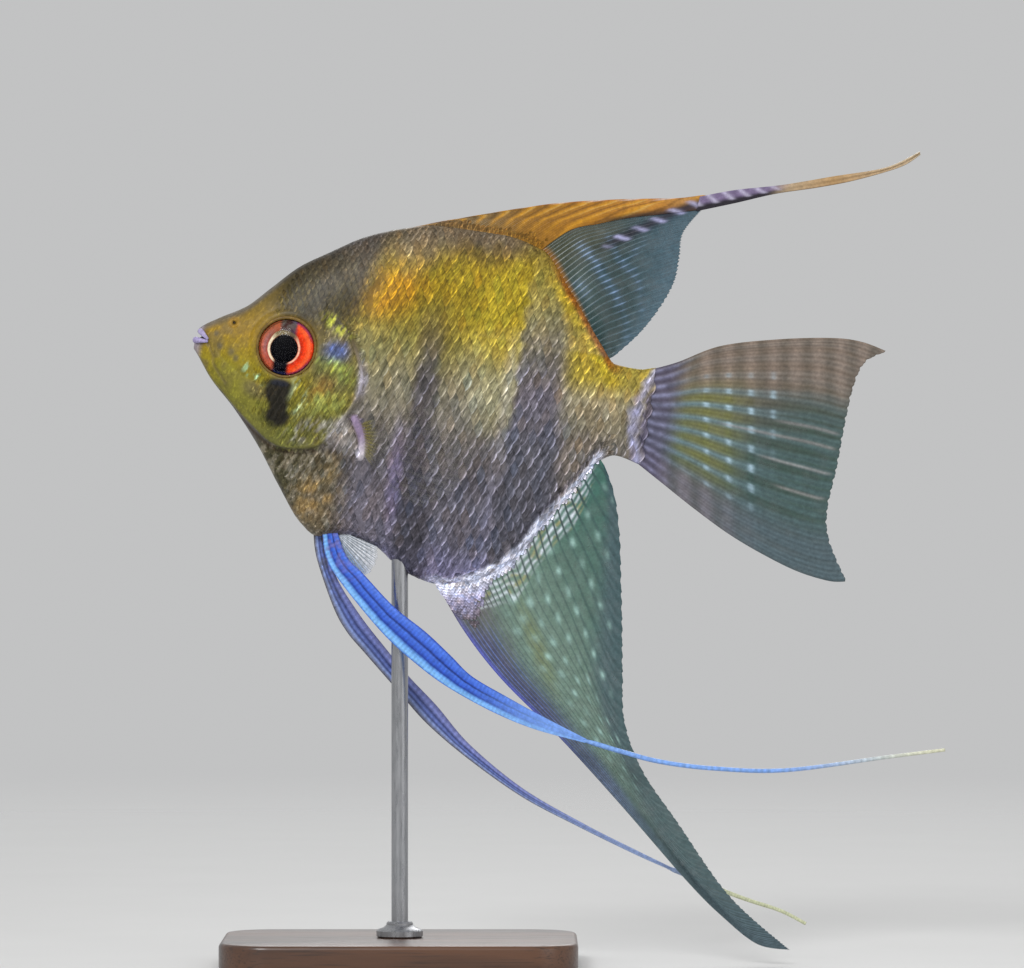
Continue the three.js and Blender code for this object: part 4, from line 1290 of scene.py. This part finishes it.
spiny_dorsal = fin_edges(
    foot_along(back, 1, 34, 59.2),
    through([
        [35, 26.2], [40, 28.1], [45, 29.8], [54.6, 33], [62, 35.2], [72.1, 37.4], [82.2, 39.2],
        [87.6, 40.5], [87.2, 37.9],
    ]),
    [],
    [[64, 30.4], [69, 32.4], [74.4, 34.4], [80, 35.9]],
)
soft_dorsal = fin_edges(
    foot_along(back, 1, 58.6, 74.6),
    swept(2.2, [
        [87, 37.8], [84.4, 33.3], [84.4, 29], [84.2, 24.4], [82.4, 19.4], [79.5, 14.2], [75.6, 9.4],
    ]),
    [[64, 30.9], [69, 32.9], [74.4, 34.9], [80.1, 36.5]],
    [],
)
dorsal_trailer = fin_edges(
    through([[86.2, 40.1], [86, 37.4]]),
    through([[124.1, 54.4], [124.3, 53.8]]),
    [[92.4, 42.3], [100.5, 44.5], [109.1, 47.4], [118.5, 50.6]],
    [[92.8, 40], [99.5, 42.7], [106.8, 45], [113.4, 47.4], [121, 51]],
)
tail_fin = fin_edges(
    through([[81.4, 7.6], [81.4, -8.4]]),
    through([
        [123.9, 17.9], [120.4, 15.4], [119, 11], [118.5, 4], [118.3, -4], [117.8, -12], [119, -17.4],
        [123.2, -24.2],
    ]),
    [[86.8, 10], [94, 14.1], [103.9, 16.9], [113.5, 18.7], [119, 18.9]],
    [[87.2, -11.7], [93.9, -15.5], [100.9, -19.1], [107.7, -21.8], [114.2, -23.8], [120, -24.6]],
)
anal_fin = fin_edges(
    foot_along(belly, -1, 49.4, 76),
    swept(1.7, [
        [123.4, -91.2], [111.3, -83.4], [99.9, -71.7], [92.2, -63.5], [87.7, -55.4], [86, -47],
        [84.4, -37.5], [83.1, -30.5], [81.6, -22.6], [79.6, -15.6], [77, -10.6],
    ]),
    [
        [56, -43.2], [64.2, -51], [76.6, -60.1], [89.3, -70.3], [103, -81.8], [110.4, -87.2],
        [117.4, -91.1],
    ],
    [],
)


SKY_BANDS = [                         # on the soft dorsal fin: each band's line, width and strength
    ([[66.3, 27.9], [69.4, 25.6], [71.9, 22.6], [75, 18.7], [77, 13]], 0.9, 1),
    ([[71.3, 30.5], [73.8, 26.5], [77.1, 24.1], [79, 18]], 0.7, 0.6),
    ([[74.9, 26.7], [77.6, 30.4]], 0.6, 0.45),
    ([[67.2, 21.2], [69.8, 18.3]], 0.9, 0.5),
]
COLUMNS = 12                          # of pale spots across the anal fin


def dusky_line(u, v):
    """The dark line that runs out along the dorsal fin to its trailer, and its oblique pale dashes."""
    off, along = beside(u, v, through([[66, 25.5], [71.2, 29], [77.5, 33.4], [84.4, 38], [87.4, 39]]))
    dark = bump(off, 0, 0.95) * soft(0.1, 0.35, along)
    dashes = bump(np.mod(along * 7 + 0.3 * off, 1), 0.5, 0.16) * (0.75 + 0.35 * mottle(u, v, 2.5, 2))
    return dark, soft(0.2, 0.6, dark) * dashes


def spiny_colour(s, t, u, v, ray):
    """Gold brown, darker in front, with slanting lines and a dark rear edge."""
    lines = np.mod(s * 11 + 3.2 * t, 1)
    dark, dashes = dusky_line(u, v)
    upper = soft(0.88, 0.98, t) * soft(0.95, 0.85, s)
    colour = layers(
        ramp(u, [
            (38, 106, 92, 74), (48, 118, 96, 58), (56, 140, 98, 30), (68, 164, 110, 26),
            (80, 184, 126, 50), (88, 206, 158, 98),
        ]),
        ((204, 146, 34), 0.7 * bump(lines, 0.5, 0.16) * soft(0.05, 0.3, t)),
        ((70, 46, 16), 0.5 * bump(lines, 0.08, 0.1) * soft(0.1, 0.4, t)),
        ((226, 196, 120), 0.45 * bump(lines, 0.62, 0.05) * soft(0.3, 0.6, t)),
        ((26, 22, 26), 0.85 * soft(0.96, 0.995, s) * soft(0.3, 0.5, t)),
        ((44, 38, 50), 0.95 * dark),
        ((180, 178, 212), 0.9 * dashes),
        ((176, 104, 40), 0.5 * upper),
        ((206, 196, 190), 0.8 * upper * bump(np.mod(s * 9, 1), 0.5, 0.2)),
    )
    return with_alpha(colour, 1.0)


def soft_dorsal_colour(s, t, u, v, ray):
    """Dark green grey web under pale blue bands."""
    bands = 0
    for line, wide, strength in SKY_BANDS:
        off, along = beside(u, v, through(line))
        band = strength * bump(off + 0.3 * mottle(u, v, 1.2, 1), 0, wide)
        bands = bands + band * (1 - 0.7 * soft(0.4, 0.9, along))
    sky = np.clip(bands * (0.15 + 0.85 * ray) * (1 + 0.4 * mottle(u, v, 1, 2)), 0, 1)
    dark, dashes = dusky_line(u, v)
    under_spines = soft(0.05, 0.02, s) * soft(0.35, 0.5, t)
    root = soft(0.085, 0.03, t)
    colour = layers(
        (34, 60, 60),
        ((64, 92, 106), soft(0.4, 0.95, t)),
        ((74, 74, 50), 0.75 * soft(0.5, 0.2, s) * soft(0.65, 0.3, t)),
        ((118, 130, 122), 0.45 * bar(t, 0.16, 0.05, 0.12) * bar(s, 0.5, 0.15, 0.2)),
        ((108, 130, 140), (0.3 + 0.35 * bar(t, 0.4, 0.15, 0.25)) * ray),
        ((150, 178, 220), sky * 0.85),
        ((38, 32, 46), 0.85 * np.maximum(dark, under_spines)),
        ((172, 172, 212), 0.9 * dashes),
        ((142, 94, 26), root),
    )
    alpha = 0.74 + 0.14 * ray + 0.2 * bands + 0.3 * dark + 0.2 * under_spines + root
    return with_alpha(colour, alpha + 0.2 * soft(0.3, 0.05, t))


def trailer_colour(s, t, u, v, ray):
    """Tan rays, mauve and dashed near their root."""
    tan = ramp(t, [(0.3, 178, 160, 134), (0.6, 176, 142, 98), (1, 204, 186, 158)])
    near = soft(0.42, 0.3, t)
    violet = mix((116, 102, 134), (40, 36, 44), soft(0.4, 0.75, s))
    dashes = bump(np.mod(t * 14 - s, 1), 0.5, 0.18) * soft(0.8, 0.6, s)
    colour = layers(
        tan * 0.75,
        (tan, ray),
        (violet, near),
        ((190, 184, 208), 0.7 * dashes * near),
        ((74, 54, 40), 0.5 * soft(0.8, 0.98, s) * soft(0.3, 0.4, t)),
    )
    return with_alpha(colour, 0.98)


def tail_colour(s, t, u, v, ray):
    """Grey green, with columns of pale dots between two mauve lobes."""
    middle = bar(s, 0.5, 0.27, 0.12)
    column = np.mod((u + 0.158 * v - 93.7) / 4.1 + 0.5, 1)
    light = 0.5 + 0.5 * np.cos((column - 0.5) * 2 * math.pi)
    upper = soft(0.34, 0.2, s)
    lower = soft(0.72, 0.86, s)
    dim = mix(mix((100, 92, 98), (134, 122, 134), light), (86, 100, 110), soft(0.3, 0.7, t))
    dots = bump(column, 0.5, 0.13) * soft(0.27, 0.33, t) * soft(0.74, 0.6, t)
    dotted = dots * soft(0.4, 0.95, ray) * middle * (0.8 + 0.3 * mottle(u, v, 3, 2))
    colour = layers(
        (96, 88, 76),
        ((62, 84, 80), soft(0.25, 0.6, s)),
        ((56, 78, 68), 0.8 * soft(0.5, 0.85, t) * soft(0.15, 0.4, s)),
        ((122, 122, 60), 0.75 * middle * bar(t, 0.36, 0.16, 0.12)),
        ((100, 126, 136), (0.3 + 0.55 * middle * soft(0.75, 0.4, t)) * ray),
        (mix((112, 98, 86), (150, 131, 118), light), 0.65 * upper * soft(0.12, 0.3, t)),
        (dim, 0.65 * lower),
        ((176, 204, 220), 0.75 * dotted),
    )
    for place_at, start in ((0.4, 0.65), (0.46, 0.38), (0.56, 0.6), (0.66, 0.7)):
        long_ray = bump(s, place_at, 0.006) * soft(start, start + 0.1, t) * soft(1, 0.95, t)
        colour = mix(colour, (176, 170, 170), 0.45 * long_ray)
    colour = colour * (1 + 0.12 * np.sin(s * 2 * math.pi * 47) * soft(0.15, 0.35, t))[..., None]
    root = soft(0.26, 0.12, t + 0.12 * (s - 0.5) ** 2)
    mauve = mix((76, 70, 92), (136, 134, 168), ray * (0.6 + 0.4 * mottle(u, v, 1, 2)))
    colour = mix(colour, mauve, 0.85 * root)
    alpha = 0.82 + 0.1 * ray + 0.2 * dots * middle + 0.3 * soft(0.3, 0.1, t) + 0.08 * upper
    return with_alpha(colour, alpha)


def anal_colour(s, t, u, v, ray):
    """Green grey with rows of dots, blue rays in front and a pale net at its foot."""
    below = (belly(u) - v) / np.hypot(1, steepness(belly, u))
    out = t * np.linalg.norm(anal_fin["margin"](s) - anal_fin["foot"](s), axis=-1)
    streak = spot(u, v, (70, -44.5), (7.5, 1.3), -60, 0.8) * (1 - 0.6 * ray)
    column = s * COLUMNS
    wide = np.hypot(np.gradient(u, axis=1), np.gradient(v, axis=1)) * (s.shape[1] - 1) / COLUMNS
    across = (np.mod(column, 1) - 0.5) * wide
    along = (np.mod(out / 4 + 0.39 * np.floor(column), 1) - 0.5) * 4
    dots = np.exp(-(across**2 + along**2) / (0.84 + 0.16 * mottle(u, v, 3, 3)) ** 2)
    dots = dots * soft(0.3, 0.42, s) * soft(4, 7, out) * soft(0.95, 0.85, t)
    dots = dots * (0.7 + 0.5 * mottle(u, v, 3, 1)) * soft(-70, -62, v)
    lead = soft(0.36, 0.12, s) * soft(4, 10, below)
    stripes = mix((78, 76, 104), (112, 136, 206), ray * (0.7 + 0.4 * mottle(s * 60, t * 6, 1, 3)))
    base = soft(0.42, 0.2, s) * soft(12, 3, below)
    net = soft(4.2, 2.8, below - 1.2 * spot(u, v, (60, -37), (5, 5))) * soft(54, 58, u) * soft(76, 73, u)
    rows = np.mod(below / 1.05 + 0.25 * mottle(u, v, 1.5, 1), 1)
    cells = net * (1 - soft(0.2, 0.7, ray)) * bump(rows, 0.5, 0.27)
    bright = mix((222, 230, 240), (160, 158, 112), soft(0.1, 0.6, mottle(u, v, 1.3, 2)))
    colour = layers(
        (112, 138, 124),
        ((66, 106, 96), soft(0.5, 0.95, s)),
        ((70, 90, 102), 0.7 * soft(0.55, 0.85, t)),
        ((56, 78, 80), 0.5 * soft(0.2, 0.8, ray)),
        ((124, 130, 62), 0.5 * streak),
        ((170, 206, 198), np.clip(0.8 * dots, 0, 1)),
        (stripes, (0.7 + 0.2 * soft(0.45, 0.3, t)) * lead * soft(0.8, 0.5, t)),
        ((96, 104, 204), 0.6 * soft(0.06, 0.02, s) * soft(0.5, 0.3, t)),
        (mix((46, 58, 60), (98, 116, 130), ray), 0.75 * soft(0.5, 0.8, t) * soft(0.5, 0.1, s)),
        (mix((96, 86, 88), (130, 120, 130), ray), 0.9 * base),
        ((60, 66, 72), 0.6 * net * soft(0.1, 0.7, ray)),
        (bright, (0.75 + 0.25 * mottle(u, v, 0.8, 3)) * cells),
    )
    alpha = 0.78 + 0.1 * ray + 0.2 * dots + 0.2 * lead + 0.3 * base + 0.3 * soft(6, 3, below)
    return with_alpha(colour, alpha)


UNFORKED = {"notch": 0, "first_fork": 2, "second_fork": 2}
UPRIGHT_FINS = [        # name, edges, steps, form, colours, rays, material, slot, nodes and options
    ("dorsal_fin_spiny", spiny_dorsal, (200, 60), (0.42, 0.1, 0.14, 0.2), spiny_colour, 14,
     SPINY_FIN, "fin_orange", ["fin_dorsal_spines"], {**UNFORKED, "width": 0.2}),
    ("dorsal_fin_soft", soft_dorsal, (240, 84), (0.36, 0.07, 0.1, 0.2), soft_dorsal_colour, 26,
     FIN, "fin_rays", ["fin_dorsal_soft"], {"first_fork": 0.45, "width": 0.1}),
    ("dorsal_trailer", dorsal_trailer, (26, 130), (0.1, 0.12, 0.12, 1.2), trailer_colour, 3,
     SPINY_FIN, "fin_orange", ["fin_dorsal_trailer"], {**UNFORKED, "width": 0.25}),
    ("tail_fin", tail_fin, (286, 130), (0.5, 0.08, 0.13, 1.5), tail_colour, 12,
     FIN, "fin_rays", ["fin_tail"], {"width": 0.27}),
    ("anal_fin", anal_fin, (270, 170), (0.5, 0.08, 0.13, -1), anal_colour, 30,
     FIN, "fin_rays", ["fin_anal", "fin_anal_trailer"], {"crowd": 1.4}),
]

for name, edges, steps, form, colours, rays, material, slot, nodes, options in UPRIGHT_FINS:
    fin(name, edges, steps, *upright(*form), colours, rays, material, slot, nodes, **options)


PELVICS = {     # outlines, how far each stands off the middle, and the colours across it and its thread
    "left": {
        "foot": [[28.5, -29.9], [31.2, -29.6]],
        "end": [[81.1, -60], [81.3, -59.3]],
        "leading": [
            [29.9, -34.4], [33.1, -38.4], [42.1, -46.3], [49.5, -51.1], [55.7, -54.2], [64.1, -57.2],
            [71.8, -59],
        ],
        "trailing": [
            [33.6, -33.8], [37.3, -36.6], [43.4, -41.3], [49.8, -44.9], [54.8, -48.3], [59.2, -51.4],
            [65.8, -54], [72.2, -56.3],
        ],
        "thread": [
            [79.8, -59.6], [81.6, -59.7], [88.5, -60.6], [95, -61.2], [104.2, -60.9], [117.1, -59.2],
            [134.8, -54], [144.8, -51.1],
        ],
        "spread": 5, "flare": 2,
        "stripes": [
            (0, 60, 104, 200), (0.08, 132, 190, 244), (0.22, 112, 170, 240), (0.32, 30, 58, 150),
            (0.42, 54, 94, 200), (0.56, 68, 110, 214), (0.62, 20, 38, 110), (0.7, 58, 98, 206),
            (0.92, 78, 120, 222), (1, 40, 68, 164),
        ],
        "root": (120, 110, 160),
        "thread_start": (132, 174, 242), "thread_end": (220, 220, 192), "fades": (0.5, 1),
    },
    "right": {
        "foot": [[26.9, -30.4], [29.4, -30]],
        "end": [[101.05, -81.1], [101.15, -80.6]],
        "leading": [
            [28.3, -35.1], [32.5, -43.1], [35.6, -47.2], [39.6, -50.7], [46.1, -56.2], [52.6, -61.6],
            [61.3, -66.9], [71.7, -72], [81.9, -75.5], [93.2, -79],
        ],
        "trailing": [
            [31.8, -37], [37.2, -43.6], [43.6, -49.7], [48.1, -53.7], [53.8, -58.1], [60.8, -64.1],
            [71.5, -70.4], [83.4, -75], [93.3, -78.2],
        ],
        "thread": [
            [99.6, -80.6], [101.4, -80.9], [111.2, -83.3], [115.8, -84.2], [121.2, -85.1], [126, -86.7],
        ],
        "spread": 5.5, "flare": 3,
        "stripes": [
            (0, 86, 84, 90), (0.1, 116, 122, 148), (0.24, 140, 160, 216),
            (0.34, 66, 76, 124), (0.46, 108, 126, 194), (0.6, 60, 68, 116),
            (0.76, 134, 144, 206), (1, 110, 112, 156),
        ],
        "root": (84, 80, 70),
        "thread_start": (154, 174, 214), "thread_end": (204, 208, 172), "fades": (0, 0.5),
    },
}


def make_pelvic(side_name, side):
    """A pelvic fin: a few long grooved rays side by side, running out in one thread."""
    plan = PELVICS[side_name]

    def offset(u):
        outwards_by = plan["spread"] * soft(28, 55, u)
        return side * (1.05 + outwards_by + plan["flare"] * soft(50, 145, u))

    def pelvic_half(s, t, ray):
        bulge = np.sin(math.pi * np.clip(s, 0.04, 0.96)) ** 0.5
        return 0.1 + (0.34 - 0.16 * t) * (0.25 + 0.75 * ray) * bulge

    def pelvic_colour(s, t, u, v, ray):
        patches = soft(-0.4, 0.5, mottle(u, v, 0.7, 2))
        colour = ramp(s + 0.012 * mottle(t * 60, s * 2, 1, 1), plan["stripes"])
        colour = mix(colour, plan["root"], 0.7 * soft(0.22, 0, t) * patches)
        segments = np.sin(t * 520 + s * 9) * (0.13 + 0.07 * mottle(t * 90, s * 8, 1, 3))
        colour = colour * (1 + segments)[..., None]
        return with_alpha(mix(colour, plan["thread_start"], 0.8 * soft(0.6, 0.95, t)), 1.0)

    node = f"fin_pelvic_{side_name}"
    edges = fin_edges(
        through(plan["foot"]), through(plan["end"]), plan["leading"], plan["trailing"],
    )
    fin(
        f"pelvic_fin_{side_name}", edges, (42, 300), lambda s, t, u, v: offset(u),
        pelvic_half, pelvic_colour, 4, BLUE_FIN, "fin_blue", [node], **UNFORKED, width=0.3,
    )
    around = 12
    out = np.linspace(0, 1, 120)
    line = through(plan["thread"])(out)
    path = np.stack([line[:, 0], offset(line[:, 0]), line[:, 1]], axis=1)
    points, faces = tube(path, (0.46 - 0.16 * out) * (0.5 + 0.5 * soft(0, 0.05, out)), around)
    tone = mix(plan["thread_start"], plan["thread_end"], soft(*plan["fades"], out))
    tone = np.repeat(tone * (0.92 + 0.12 * np.sin(out * 420))[:, None], around, axis=0)
    make_piece(
        f"pelvic_thread_{side_name}", place(points), faces, BLUE_FIN, "fin_blue", tone,
        replaced=[f"{node}_thread"],
    )


def make_pelvic_web(side_name, side):
    """The short silvery web between a pelvic fin's root and the belly."""
    edges = fin_edges(
        through([[30.2, -30.2], [31, -29.2]]),
        through([[35.2, -36.2], [37.2, -36.8], [38.5, -35.5], [39.1, -33.4], [38.9, -31.2]]),
        [], [],
    )

    def colour(s, t, u, v, ray):
        pale = mix((120, 164, 214), (240, 242, 248), soft(0.2, 0.5, s))
        silver = mix((172, 182, 192), pale, soft(0.1, 0.5, ray))
        cross = 0.5 + 0.5 * np.sin(t * 55 + s * 10)
        alpha = (0.4 + 0.6 * ray + 0.5 * soft(0.6, 0.2, t)) * soft(1.15, 0.7, t)
        return with_alpha(silver * (0.8 + 0.2 * cross)[..., None], alpha)

    fin(
        f"pelvic_web_{side_name}", edges, (72, 40), lambda s, t, u, v: side * (0.7 + 0.6 * t),
        lambda s, t, ray: 0.07 + 0.06 * ray, colour, 11, FIN, "fin_rays",
    )


def make_pectoral(side_name, side):
    """A pectoral fin, nearly clear, spread back and outwards from behind the gill cover."""
    edges = fin_edges(
        through([[32.6, -9.7], [33.4, -12.5], [34, -15.4]]),
        through([[46.5, -4.6], [51.5, -8.4], [53.5, -13.8], [51, -19.2], [45.4, -23]]),
        [[39, -6.4]],
        [[39, -20.2]],
    )

    def spread(s, t, u, v):
        foot_u, foot_v = np.moveaxis(edges["foot"](s), -1, 0)
        root = thickness(foot_u, rise_at(foot_u, foot_v)) - 0.1
        return side * (root + 0.55 * soft(0, 0.1, t) + 11 * t**0.9 + 0.3 * np.sin(s * 7) * t)

    def colour(s, t, u, v, ray):
        tone = mix((150, 150, 134), (140, 130, 60), soft(0.3, 0.05, t))
        near_root = soft(0.17, 0.03, t) * (0.35 + 0.65 * ray)
        return with_alpha(tone, 0.012 + 0.04 * ray + 0.6 * near_root)

    def pectoral_half(s, t, ray):
        return 0.06 + 0.2 * soft(0.3, 0, t) + 0.09 * ray * (1 - 0.5 * t)

    fin(
        f"pectoral_fin_{side_name}", edges, (110, 50), spread, pectoral_half, colour, 12,
        FIN, "fin_rays", [f"fin_pectoral_{side_name}"], notch=0.4,
    )


for side_name, side in SIDES.items():
    make_pelvic(side_name, side)
    make_pelvic_web(side_name, side)
    make_pectoral(side_name, side)


# ---- Scales over the fins' feet --------------------------------------------------------------
def sheath(edges, reach, step, first, cell, tint_of, y_of, rng):
    """Rows of small scales that run from a fin's foot out along its rays, on the right side."""
    length = 14.0
    foot = edges["foot"](np.linspace(0, 1, 200))
    run = np.linalg.norm(np.diff(foot, axis=0), axis=1).sum()
    columns = max(int(run / step), 2)
    roots, headings, sizes, spots = [], [], [], []
    for k in range(columns):
        for row in range(int(length / (step * 0.62))):
            s = np.array([(k + 0.5 * (row % 2) + 0.25) / columns])
            here, out = between(edges, s, np.array([0.0])), between(edges, s, np.array([0.25]))
            ray = np.linalg.norm(out - here) * 4
            t = np.array([(first + row * step * 0.62) / ray])
            share = (first + row * step * 0.62) / max(reach(s[0]), 0.5)
            if share > 1 or t[0] > 0.7 or s[0] > 0.985 or rng.random() < 2 * share - 1.3:
                continue
            at, ahead = between(edges, s, t)[0], between(edges, s, t + 0.02)[0]
            roots.append(at)
            headings.append(math.atan2(ahead[1] - at[1], ahead[0] - at[0]))
            shrink = 1 - 0.5 * share
            sizes.append([step * 1.15 * shrink, step * 0.62 * shrink])
            spots.append([s[0], t[0]])
    roots, spots = np.array(roots), np.array(spots)
    tone = varied(rng, len(roots), 0.25)
    level = y_of(spots[:, 0], spots[:, 1])[:, None]

    def surface(a, b):
        return np.stack([a, np.broadcast_to(level, a.shape), b], axis=-1)

    def normal(a, b):
        return np.stack([np.zeros_like(a), np.ones_like(a), np.zeros_like(a)], axis=-1)

    def tint(u, v):
        return tint_of(u, v, spots[:, :1])

    maps = np.array(cell[:2]) + spots * [cell[2], cell[3] * 2.5]
    shine = rng.uniform(0.4, 1.2, len(roots))
    return lay_scales(
        SMALL, surface, normal, roots, np.array(headings), np.array(sizes), tint, tone, shine, maps,
    )


def silver_tint(u, v, s):
    """The pale scales on the anal fin's foot, dusky in places."""
    below = belly(u) - v
    colour = ramp(below, [(0.5, 232, 234, 255), (3, 190, 186, 222), (7, 122, 112, 120)])
    colour = colour * (0.8 + 0.4 * mottle(u, v, 1.3, 1, 2, SLANT))[..., None]
    dusky = soft(0.1, 0.6, mottle(u, v, 1.6, 2)) * bar(below, 3.5, 0.5, 2)
    return mix(colour, (132, 122, 88), 0.5 * dusky)


def gold_tint(u, v, s):
    """The gold scales on the spiny dorsal fin's foot."""
    return mix((106, 88, 64), (142, 100, 28), s + 0 * u)


SHEATHS = [     # edges, reach of the rows in mm, step, where they start, tints, flesh and sway
    (anal_fin, lambda s: 1.9 + 8 * soft(0.42, 0.1, s) * (1 - 0.4 * soft(0.1, 0, s)),
     0.95, 0.9, silver_tint, 0.5, -1),
    (spiny_dorsal, lambda s: 3.4 * soft(0.02, 0.2, s), 0.8, 0.9, gold_tint, 0.42, 0.2),
]


def make_sheaths(side_name, side):
    """The scales on the feet of the anal and the spiny dorsal fin, on one side."""
    rng = np.random.default_rng(SEED + 20)
    parts = []
    for number, (edges, reach, step, first, tint_of, foot_half, sway) in enumerate(SHEATHS):
        cell = (0.02 + 0.32 * number, 0.02, 0.3, 0.9)

        def y_of(s, t, foot_half=foot_half, sway=sway):
            return 0.27 + flesh(foot_half, s, t) + side * sway * t * t

        parts.append(sheath(edges, reach, step, first, cell, tint_of, y_of, rng))
    points, tints, patch, faces = joined(parts)
    points = place(points * [1, side, 1])
    make_piece(f"scales_fins_{side_name}", points, faces, SCALES, "skin", tints, patch, sharp=50)


for side_name, side in SIDES.items():
    make_sheaths(side_name, side)


# ---- The display stand -----------------------------------------------------------------------
def make_base():
    """The walnut base, with soft corners and edges."""
    low, high = (np.array(c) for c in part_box("stand_base"))
    centre, half_size = (low + high) / 2, (high - low) / 2
    corner, bevel, arc = 9 * MM, 0.8 * MM, 16
    turn = np.linspace(0, math.pi / 2, arc)
    edge = np.linspace(0, math.pi / 2, 6)
    levels = [(bevel * (1 - math.sin(a)), low[2] + bevel * (1 - math.cos(a))) for a in edge]
    levels += [(bevel * (1 - math.cos(a)), high[2] - bevel * (1 - math.sin(a))) for a in edge]
    rings = []
    for inset, z in levels:
        ring = []
        for quarter, (sx, sy) in enumerate(((1, 1), (-1, 1), (-1, -1), (1, -1))):
            angle = turn + quarter * math.pi / 2
            cx = centre[0] + sx * (half_size[0] - corner)
            cy = centre[1] + sy * (half_size[1] - corner)
            radius = corner - inset
            ring += [[cx + radius * math.cos(a), cy + radius * math.sin(a), z] for a in angle]
        rings.append(ring)
    faces = capped_rings(len(rings), len(rings[0]))
    make_piece(
        "stand_base_walnut", np.array(rings).reshape(-1, 3), faces, WOOD, "stand_wood",
        sharp=30, replaced=["stand_base"],
    )


def lathe(name, outline, material, slot, replaced, sides=72, sharp=30):
    """A turned piece round the rod's axis: outline is [radius, height] in metres, from axis to axis."""
    turn = circle(sides)
    rings = [[[r * math.cos(a), r * math.sin(a), z] for a in turn] for r, z in outline]
    make_piece(
        name, np.array(rings).reshape(-1, 3), capped_rings(len(outline), sides), material, slot,
        sharp=sharp, replaced=replaced,
    )


def make_rod():
    """The steel rod, a little past its solid so that it ends inside the belly."""
    low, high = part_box("stand_rod")
    radius, chamfer = (high.x - low.x) / 2, 0.25 * MM
    top = high.z + 1.1 * MM
    outline = [(radius - chamfer, low.z), (radius, low.z + chamfer)]
    outline += [(radius, z) for z in np.linspace(low.z + 2 * chamfer, top - 3 * MM, 12)]
    outline += [(radius, top - 0.6 * MM), (radius - 0.5 * MM, top)]
    lathe("stand_rod_steel", outline, STEEL, "stand_steel", ["stand_rod"])


def make_collar():
    """The steel collar where the rod meets the base."""
    low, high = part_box("stand_collar")
    radius, foot, top = (high.x - low.x) / 2, low.z, high.z
    neck, rim, soft_edge = 2.4 * MM, foot + 1.2 * MM, 0.3 * MM
    outline = [(radius - soft_edge, foot - 0.3 * MM), (radius, foot), (radius, rim - soft_edge)]
    outline += [(radius - soft_edge, rim), (neck + 0.5 * MM, rim + 0.35 * MM), (neck, rim + 0.8 * MM)]
    outline += [(neck, top - soft_edge), (neck - soft_edge, top)]
    lathe("stand_collar_steel", outline, STEEL, "stand_steel", ["stand_collar"])


make_base()
make_rod()
make_collar()


# ---- Floor, light and camera -----------------------------------------------------------------
def make_floor():
    """A pale floor that fades into the backdrop far from the stand."""
    n = Nodes("studio_floor")
    away = n.add("ShaderNodeVectorMath", operation="LENGTH")
    n.put(away.inputs[0], n.place())
    clear = n.add("ShaderNodeBsdfTransparent")
    n.set(Base_Color=n.blend(n.noise(30, 4), rgba(203, 203, 202), rgba(209, 209, 208)))
    n.set(Roughness=0.6, Normal=n.bumped(n.noise(900, 3), 0.0001, 0.2))
    n.surface(n.span(away.outputs["Value"], 0.1, 0.8), n.shader, clear)
    mesh = bpy.data.meshes.new("floor")
    radius, steps = 2.3, 96
    rim = [(radius * math.cos(a), radius * math.sin(a), 0) for a in circle(steps)]
    mesh.from_pydata(rim, [], [tuple(range(steps))])
    mesh.materials.append(n.material)
    floor = bpy.data.objects.new("floor", mesh)
    bpy.context.scene.collection.objects.link(floor)


TARGET = (0.015, 0, 0.09)
LAMPS = [                             # name, place, size and energy
    ("key", (-0.32, -0.74, 0.62), 0.28, 5.0),
    ("fill", (0.7, -0.6, 0.3), 0.5, 1.0),
    ("back_light", (0.1, 0.8, 0.6), 0.5, 2.6),
]
CAMERA_AT = (0.0202, -1.2, 0.0866)
FRAME_WIDTH = 0.1843


def make_lamp(name, place_at, size, energy):
    """A square lamp that looks at the fish."""
    lamp = bpy.data.lights.new(name, "AREA")
    lamp.energy, lamp.size = energy, size
    light = bpy.data.objects.new(name, lamp)
    light.location = place_at
    light.rotation_euler = (Vector(TARGET) - Vector(place_at)).to_track_quat("-Z", "Y").to_euler()
    bpy.context.scene.collection.objects.link(light)


def make_world():
    """The even, nearly white backdrop."""
    world = bpy.data.worlds.new("studio")
    world.use_nodes = True
    backdrop = world.node_tree.nodes["Background"].inputs
    backdrop["Color"].default_value = (0.87, 0.875, 0.88, 1)
    backdrop["Strength"].default_value = 0.62
    bpy.context.scene.world = world


def make_camera():
    """A camera square to the fish's left side, framed like the photo."""
    optics = bpy.data.cameras.new("camera")
    optics.sensor_width = 36
    optics.lens = optics.sensor_width * -CAMERA_AT[1] / FRAME_WIDTH
    optics.clip_start, optics.clip_end = 0.05, 20
    camera = bpy.data.objects.new("camera", optics)
    camera.location = CAMERA_AT
    camera.rotation_euler = (math.pi / 2, 0, 0)
    bpy.context.scene.collection.objects.link(camera)
    bpy.context.scene.camera = camera


make_floor()
make_world()
for lamp_plan in LAMPS:
    make_lamp(*lamp_plan)
make_camera()
bpy.context.scene.view_settings.view_transform = "Standard"
